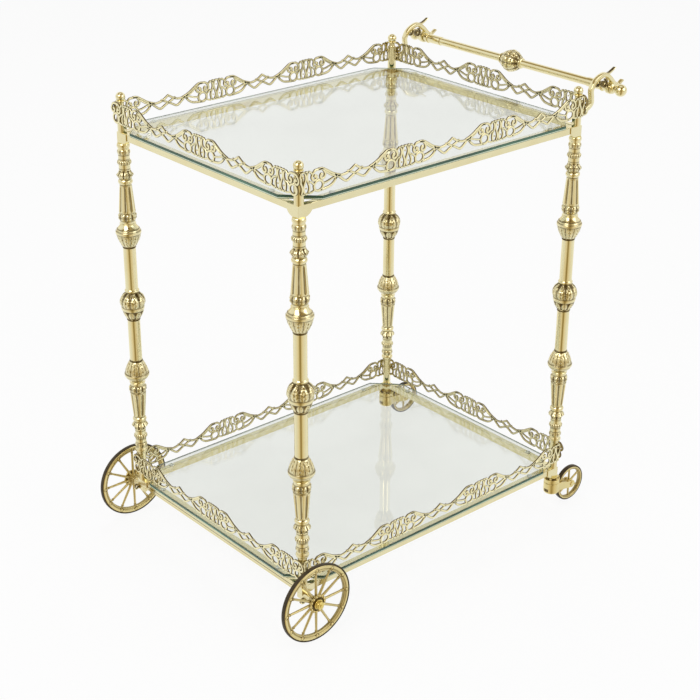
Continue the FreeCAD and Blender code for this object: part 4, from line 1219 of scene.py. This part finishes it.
class TROLLEY_OT_casters(bpy.types.Operator):
    """Swivel casters: forked cups with softened edges, small wheels and tyres, and neck lugs."""
    bl_idname = "trolley.casters"
    bl_label = "Casters"

    def execute(self, context):
        wheels = context.scene.trolley_wheels
        hub = turned([(-4.5, 4.6, 0), (-3.9, 6.0, 0.2), (-1.2, 6.0, 0), (1.2, 6.0, 0),
                      (3.9, 6.0, 0), (4.5, 4.6, 0.2)], 32)
        lugs = []
        for name, side in SIDES.items():
            fork = f"caster_{name}"
            softened(f"caster_cup_{name}", f"caster_hood_{name}", fork, "aged_brass", 0.5 * MM)
            softened(f"caster_axle_pin_{name}", f"caster_pin_{name}", fork, "aged_brass", 0.3 * MM)
            centre, radius, width = tyre_size(f"caster_tyre_{name}")
            rim_outer = radius - wheels.tyre / MM
            rim_inner = rim_outer - SMALL_RIM_HEIGHT
            parts = [moulded_rim(rim_inner, rim_outer, width, 96)]
            parts += spoked(6.0, rim_inner, wheels.caster_spokes, 0.5, 2.1, 1.7, 0) + [hub]
            matrix = outward(side)
            body = f"caster_wheel_{name}_body"
            piece(f"small_wheel_{name}", [moved(part, matrix, centre) for part in parts], body,
                  "aged_brass", nodes=(f"caster_wheel_{name}",))
            tyre = hoop(rounded(rim_outer, radius, width, 3.0, 18), 110)
            piece(f"small_tyre_{name}", [moved(tyre, matrix, centre)], body, "tyre_rubber",
                  nodes=(f"caster_tyre_{name}",))
            x, y, _ = centre_of(f"upper_baluster_rear_{name}")
            low, high = millimetres(f"caster_hood_{name}")
            # painted shade: a dark plate just proud of the cup stands for an opening
            bottom, top = (high[2] - drop for drop in PAINTED_OPENING_DROP)
            painted_opening = painted_opening_plate(x - low[0], bottom, top, PAINTED_OPENING_ANGLE)
            piece(f"caster_cup_painted_opening_{name}", [moved(darkened(painted_opening, 1.0), shift=(x, y, 0))],
                  fork, "cast_brass")
            neck = (x, y, NECK_HEIGHT)
            lugs += bead_ring(neck, 11.6, (2.2, 2.2, 1.75), 6, 0.5)
            # painted shade: a dark ring behind the lugs, seen between them
            lugs.append(collar(10.4, 11.5, 3.2, 1.0, neck, 40))
        piece("caster_neck_lugs", lugs, FRAME_BODY, "aged_brass")
        return {"FINISHED"}


# ---- Blocks, lower end rails and brackets ----

# Section of a lower end rail: (outward share, height share, depth), with a fine groove outside.
RAIL_SECTION = [(-1, 0.04, 0), (-0.92, 0, 0), (0.92, 0, 0), (1, 0.04, 0), (1, 0.285, 0),
                (0.86, 0.30, 1), (0.86, 0.37, 1), (1, 0.385, 0), (1, 0.96, 0), (0.92, 1, 0),
                (-0.92, 1, 0), (-1, 0.96, 0)]
CURL_INSET = 11.0           # millimetres from a bracket's outer face to its curls' middle
CURL_AT = (8.2, 6.5)        # curls' place: from the bracket's middle, and up from its bottom


class TROLLEY_OT_castings(bpy.types.Operator):
    """Corner blocks, lower end rails and axle brackets, with the brackets' curls."""
    bl_idname = "trolley.castings"
    bl_label = "Corner castings"

    def execute(self, context):
        for tier in TIERS:
            for corner in CORNERS:
                softened(f"{tier}_corner_casting_{corner}", f"{tier}_block_{corner}", FRAME_BODY,
                         "polished_brass", 0.6 * MM)
        for name, outer in (("front", -1), ("rear", 1)):
            node = f"lower_rail_{name}"
            low, high = millimetres(node)
            half, tall = (high[0] - low[0]) / 2, high[2] - low[2]
            rail = bar([(half * y, tall * z) for y, z, _ in RAIL_SECTION], low[1], high[1],
                       [patina_and_shade_fac for _, _, patina_and_shade_fac in RAIL_SECTION])
            rail = moved(rail, ALONG_Y @ np.diag([1, -outer, 1]),
                         ((low[0] + high[0]) / 2, 0, low[2]))
            piece(f"moulded_rail_{name}", [rail], FRAME_BODY, "polished_brass", nodes=(node,))
        softened("axle_bracket_castings", "axle_brackets", FRAME_BODY, "cast_brass", 0.8 * MM)
        low, high = millimetres("axle_brackets")
        curls = []
        for side in SIDES.values():
            for along, start, turn in ((-1, 200, 400), (1, -20, -400)):
                at = ((low[0] + high[0]) / 2 + along * CURL_AT[0], low[2] + CURL_AT[1])
                line = spiral(at, 5.2, 1.6, start, turn)
                curl = strap(line, np.linspace(2.6, 1.8, len(line)), 5.0)
                curls.append(moved(curl, shift=(0, side * (high[1] - CURL_INSET), 0)))
        piece("axle_bracket_curls", curls, FRAME_BODY, "cast_brass")
        return {"FINISHED"}


# ---- Studio: sizes in metres ----

FLOOR_HALF = 14
FLOOR_COLOUR = (0.90, 0.90, 0.90)
FLOOR_GLOW = 0.89           # share of plain white in what the camera sees of the floor
AIM = (0, 0, 0.4)           # what the lamps point at
# Name, place, size, share of the main lamp's watts, and whether brass and glass show the lamp.
LAMPS = (("key", (-2.2, -0.6, 2.6), 1.6, 1.0, True),
         ("fill", (1.2, -2.6, 2.0), 1.8, 0.55, True),
         ("rim", (1.2, 1.5, 3.6), 1.6, 0.8, False))
WHITE = (1, 1, 1)
# What the brass reflects: by the angle from the camera's side (0) to the far side (1), and by
# the height from straight down (0) to straight up (1).
BY_TURN = [(0.02, (0.32, 0.235, 0.095)), (0.06, (0.45, 0.35, 0.17)), (0.12, (0.72, 0.62, 0.42)),
           (0.22, (0.86, 0.78, 0.64)), (0.45, (0.87, 0.885, 0.90)), (0.75, WHITE)]
BY_RISE = [(0.46, WHITE), (0.50, (0.68, 0.58, 0.40)), (0.53, (0.72, 0.62, 0.45)), (0.57, WHITE),
           (0.82, WHITE), (0.86, (0.36, 0.27, 0.12)), (0.94, (0.45, 0.36, 0.2)), (0.99, WHITE)]


def backdrop_material(name, colour, glow):
    """Pale surface that shows near white to the camera, and to what brass and glass reflect."""
    tree, output = new_material(name)
    matt = tree.nodes.new("ShaderNodeBsdfDiffuse")
    matt.inputs["Color"].default_value = (*colour, 1)
    light = tree.nodes.new("ShaderNodeEmission")
    light.inputs["Color"].default_value = (*WHITE, 1)
    light.inputs["Strength"].default_value = 1.0
    path = tree.nodes.new("ShaderNodeLightPath")
    seen = reckoned(tree, "MAXIMUM", path.outputs["Is Camera Ray"], path.outputs["Is Glossy Ray"])
    seen = reckoned(tree, "MAXIMUM", seen, path.outputs["Is Transmission Ray"])
    mix = tree.nodes.new("ShaderNodeMixShader")
    tree.links.new(reckoned(tree, "MULTIPLY", seen, glow), mix.inputs[0])
    tree.links.new(matt.outputs[0], mix.inputs[1])
    tree.links.new(light.outputs[0], mix.inputs[2])
    tree.links.new(mix.outputs[0], output.inputs["Surface"])
    return bpy.data.materials[name]


def stage_floor(name, half, finish):
    """Flat square of the stage about the origin, which brass and glass don't reflect."""
    mesh = bpy.data.meshes.new(name)
    mesh.from_pydata([(-half, -half, 0), (half, -half, 0), (half, half, 0), (-half, half, 0)],
                     [], [(0, 1, 2, 3)])
    made = bpy.data.objects.new(name, mesh)
    bpy.context.scene.collection.objects.link(made)
    mesh.materials.append(finish)
    made.visible_glossy = False


def facing(right, up, back, place):
    """Matrix whose axes and origin are the four given vectors."""
    return Matrix([[right[i], up[i], back[i], place[i]] for i in range(3)] + [[0, 0, 0, 1]])


def lamp(name, place, size, watts, shown):
    """Square area lamp that points at the trolley."""
    light = bpy.data.lights.new(name, "AREA")
    light.size = size
    light.energy = watts
    made = bpy.data.objects.new(name, light)
    bpy.context.scene.collection.objects.link(made)
    back = np.subtract(place, AIM)
    back = back / np.linalg.norm(back)
    right = np.cross([0, 0, 1], back)
    right = right / np.linalg.norm(right)
    made.matrix_world = facing(right, np.cross(back, right), back, place)
    made.visible_glossy = shown
    made.visible_transmission = shown


def ramp(tree, value, stops):
    """Colour ramp from (position, colour) pairs."""
    node = tree.nodes.new("ShaderNodeValToRGB")
    elements = node.color_ramp.elements
    while len(elements) < len(stops):
        elements.new(0.5)
    for element, (position, _) in zip(elements, stops):
        element.position = position
    for element, (_, colour) in zip(elements, stops):
        element.color = (*colour, 1)
    tree.links.new(value, node.inputs[0])
    return node.outputs["Color"]


def surround_world(scene, studio, flat, right):
    """White studio all round, with a dark gap in front and thin dark bands at two heights.

    The camera and the glass see plain white, and only the brass shows the gap and the bands.
    flat and right are the level directions to the camera and to its right.
    """
    world = bpy.data.worlds.new("surround")
    scene.world = world
    world.use_nodes = True
    tree = world.node_tree
    tree.nodes.clear()
    where = tree.nodes.new("ShaderNodeTexCoord")
    parts = []
    for axis in (right, flat, (0, 0, 1)):
        dot = tree.nodes.new("ShaderNodeVectorMath")
        dot.operation = "DOT_PRODUCT"
        dot.inputs[1].default_value = tuple(axis)
        tree.links.new(where.outputs["Generated"], dot.inputs[0])
        parts.append(dot.outputs["Value"])
    angle = reckoned(tree, "ABSOLUTE", reckoned(tree, "ARCTAN2", parts[0], parts[1]))
    turn = reckoned(tree, "DIVIDE", angle, math.pi)
    rise = reckoned(tree, "ADD", reckoned(tree, "MULTIPLY", parts[2], 0.5), 0.5)
    path = tree.nodes.new("ShaderNodeLightPath")
    plain = reckoned(tree, "MAXIMUM", path.outputs["Is Camera Ray"],
                     path.outputs["Is Transmission Ray"])
    shine = tree.nodes.new("ShaderNodeBackground")
    both = mixed(tree, 1.0, ramp(tree, turn, BY_TURN), ramp(tree, rise, BY_RISE), "MULTIPLY")
    tree.links.new(both, shine.inputs["Color"])
    soft = tree.nodes.new("ShaderNodeBackground")
    soft.inputs["Color"].default_value = (*WHITE, 1)
    tree.links.new(spread(tree, plain, 0, 1, studio.surround, 1.0), soft.inputs["Strength"])
    mix = tree.nodes.new("ShaderNodeMixShader")
    tree.links.new(path.outputs["Is Glossy Ray"], mix.inputs[0])
    tree.links.new(soft.outputs[0], mix.inputs[1])
    tree.links.new(shine.outputs[0], mix.inputs[2])
    output = tree.nodes.new("ShaderNodeOutputWorld")
    tree.links.new(mix.outputs[0], output.inputs["Surface"])


def camera_at(scene, studio, right, up, back):
    """Make the scene's camera, which looks along minus back, and roll it."""
    camera = bpy.data.cameras.new("camera")
    camera.sensor_width = 36
    camera.lens = studio.lens
    camera.clip_start = 0.05
    camera.clip_end = 60
    scene.camera = bpy.data.objects.new("camera", camera)
    scene.collection.objects.link(scene.camera)
    c, s = math.cos(studio.roll), math.sin(studio.roll)
    scene.camera.matrix_world = facing(right * c + up * s, up * c - right * s, back, studio.place)


class TROLLEY_OT_stage(bpy.types.Operator):
    """Pale floor, soft surround, lamps and the camera."""
    bl_idname = "trolley.stage"
    bl_label = "Stage"

    def execute(self, context):
        scene = context.scene
        studio = scene.trolley_studio
        stage_floor("floor", FLOOR_HALF, backdrop_material("pale_floor", FLOOR_COLOUR, FLOOR_GLOW))
        for name, place, size, share, shown in LAMPS:
            lamp(name, place, size, share * studio.key, shown)
        a, e = studio.azimuth, studio.elevation
        flat = np.array([math.sin(a), -math.cos(a), 0])
        right = np.array([math.cos(a), math.sin(a), 0])
        back = np.array([math.sin(a) * math.cos(e), -math.cos(a) * math.cos(e), math.sin(e)])
        surround_world(scene, studio, flat, right)
        camera_at(scene, studio, right, np.cross(back, right), back)
        scene.view_settings.view_transform = "Standard"
        return {"FINISHED"}


# ---- Add-on ----

OPERATORS = (TROLLEY_OT_finishes, TROLLEY_OT_legs, TROLLEY_OT_galleries, TROLLEY_OT_glass,
             TROLLEY_OT_handle, TROLLEY_OT_wheels, TROLLEY_OT_casters, TROLLEY_OT_castings,
             TROLLEY_OT_stage)
GROUPS = {"trolley_legs": TrolleyLegs, "trolley_gallery": TrolleyGallery,
          "trolley_wheels": TrolleyWheels, "trolley_finish": TrolleyFinish,
          "trolley_studio": TrolleyStudio}


class TROLLEY_PT_panel(bpy.types.Panel):
    """Sidebar panel that lists the trolley's steps and sizes."""
    bl_idname = "TROLLEY_PT_panel"
    bl_label = "Dessert trolley"
    bl_space_type = "VIEW_3D"
    bl_region_type = "UI"
    bl_category = "Trolley"

    def draw(self, context):
        for name, group in GROUPS.items():
            box = self.layout.box()
            for size in group.__annotations__:
                box.prop(getattr(context.scene, name), size)
        for operator in OPERATORS:
            self.layout.operator(operator.bl_idname)


def register():
    """Register the classes and hang the sizes on the scene."""
    for made in (*GROUPS.values(), *OPERATORS, TROLLEY_PT_panel):
        bpy.utils.register_class(made)
    for name, group in GROUPS.items():
        setattr(bpy.types.Scene, name, PointerProperty(type=group))


def unregister():
    """Undo register."""
    for name in GROUPS:
        delattr(bpy.types.Scene, name)
    for made in (TROLLEY_PT_panel, *reversed(OPERATORS), *reversed(list(GROUPS.values()))):
        bpy.utils.unregister_class(made)


def main():
    """Build every piece in order."""
    register()
    for operator in OPERATORS:
        group, name = operator.bl_idname.split(".")
        if getattr(getattr(bpy.ops, group), name)() != {"FINISHED"}:
            raise RuntimeError(f"{operator.bl_label} could not finish")


if __name__ == "__main__":
    main()
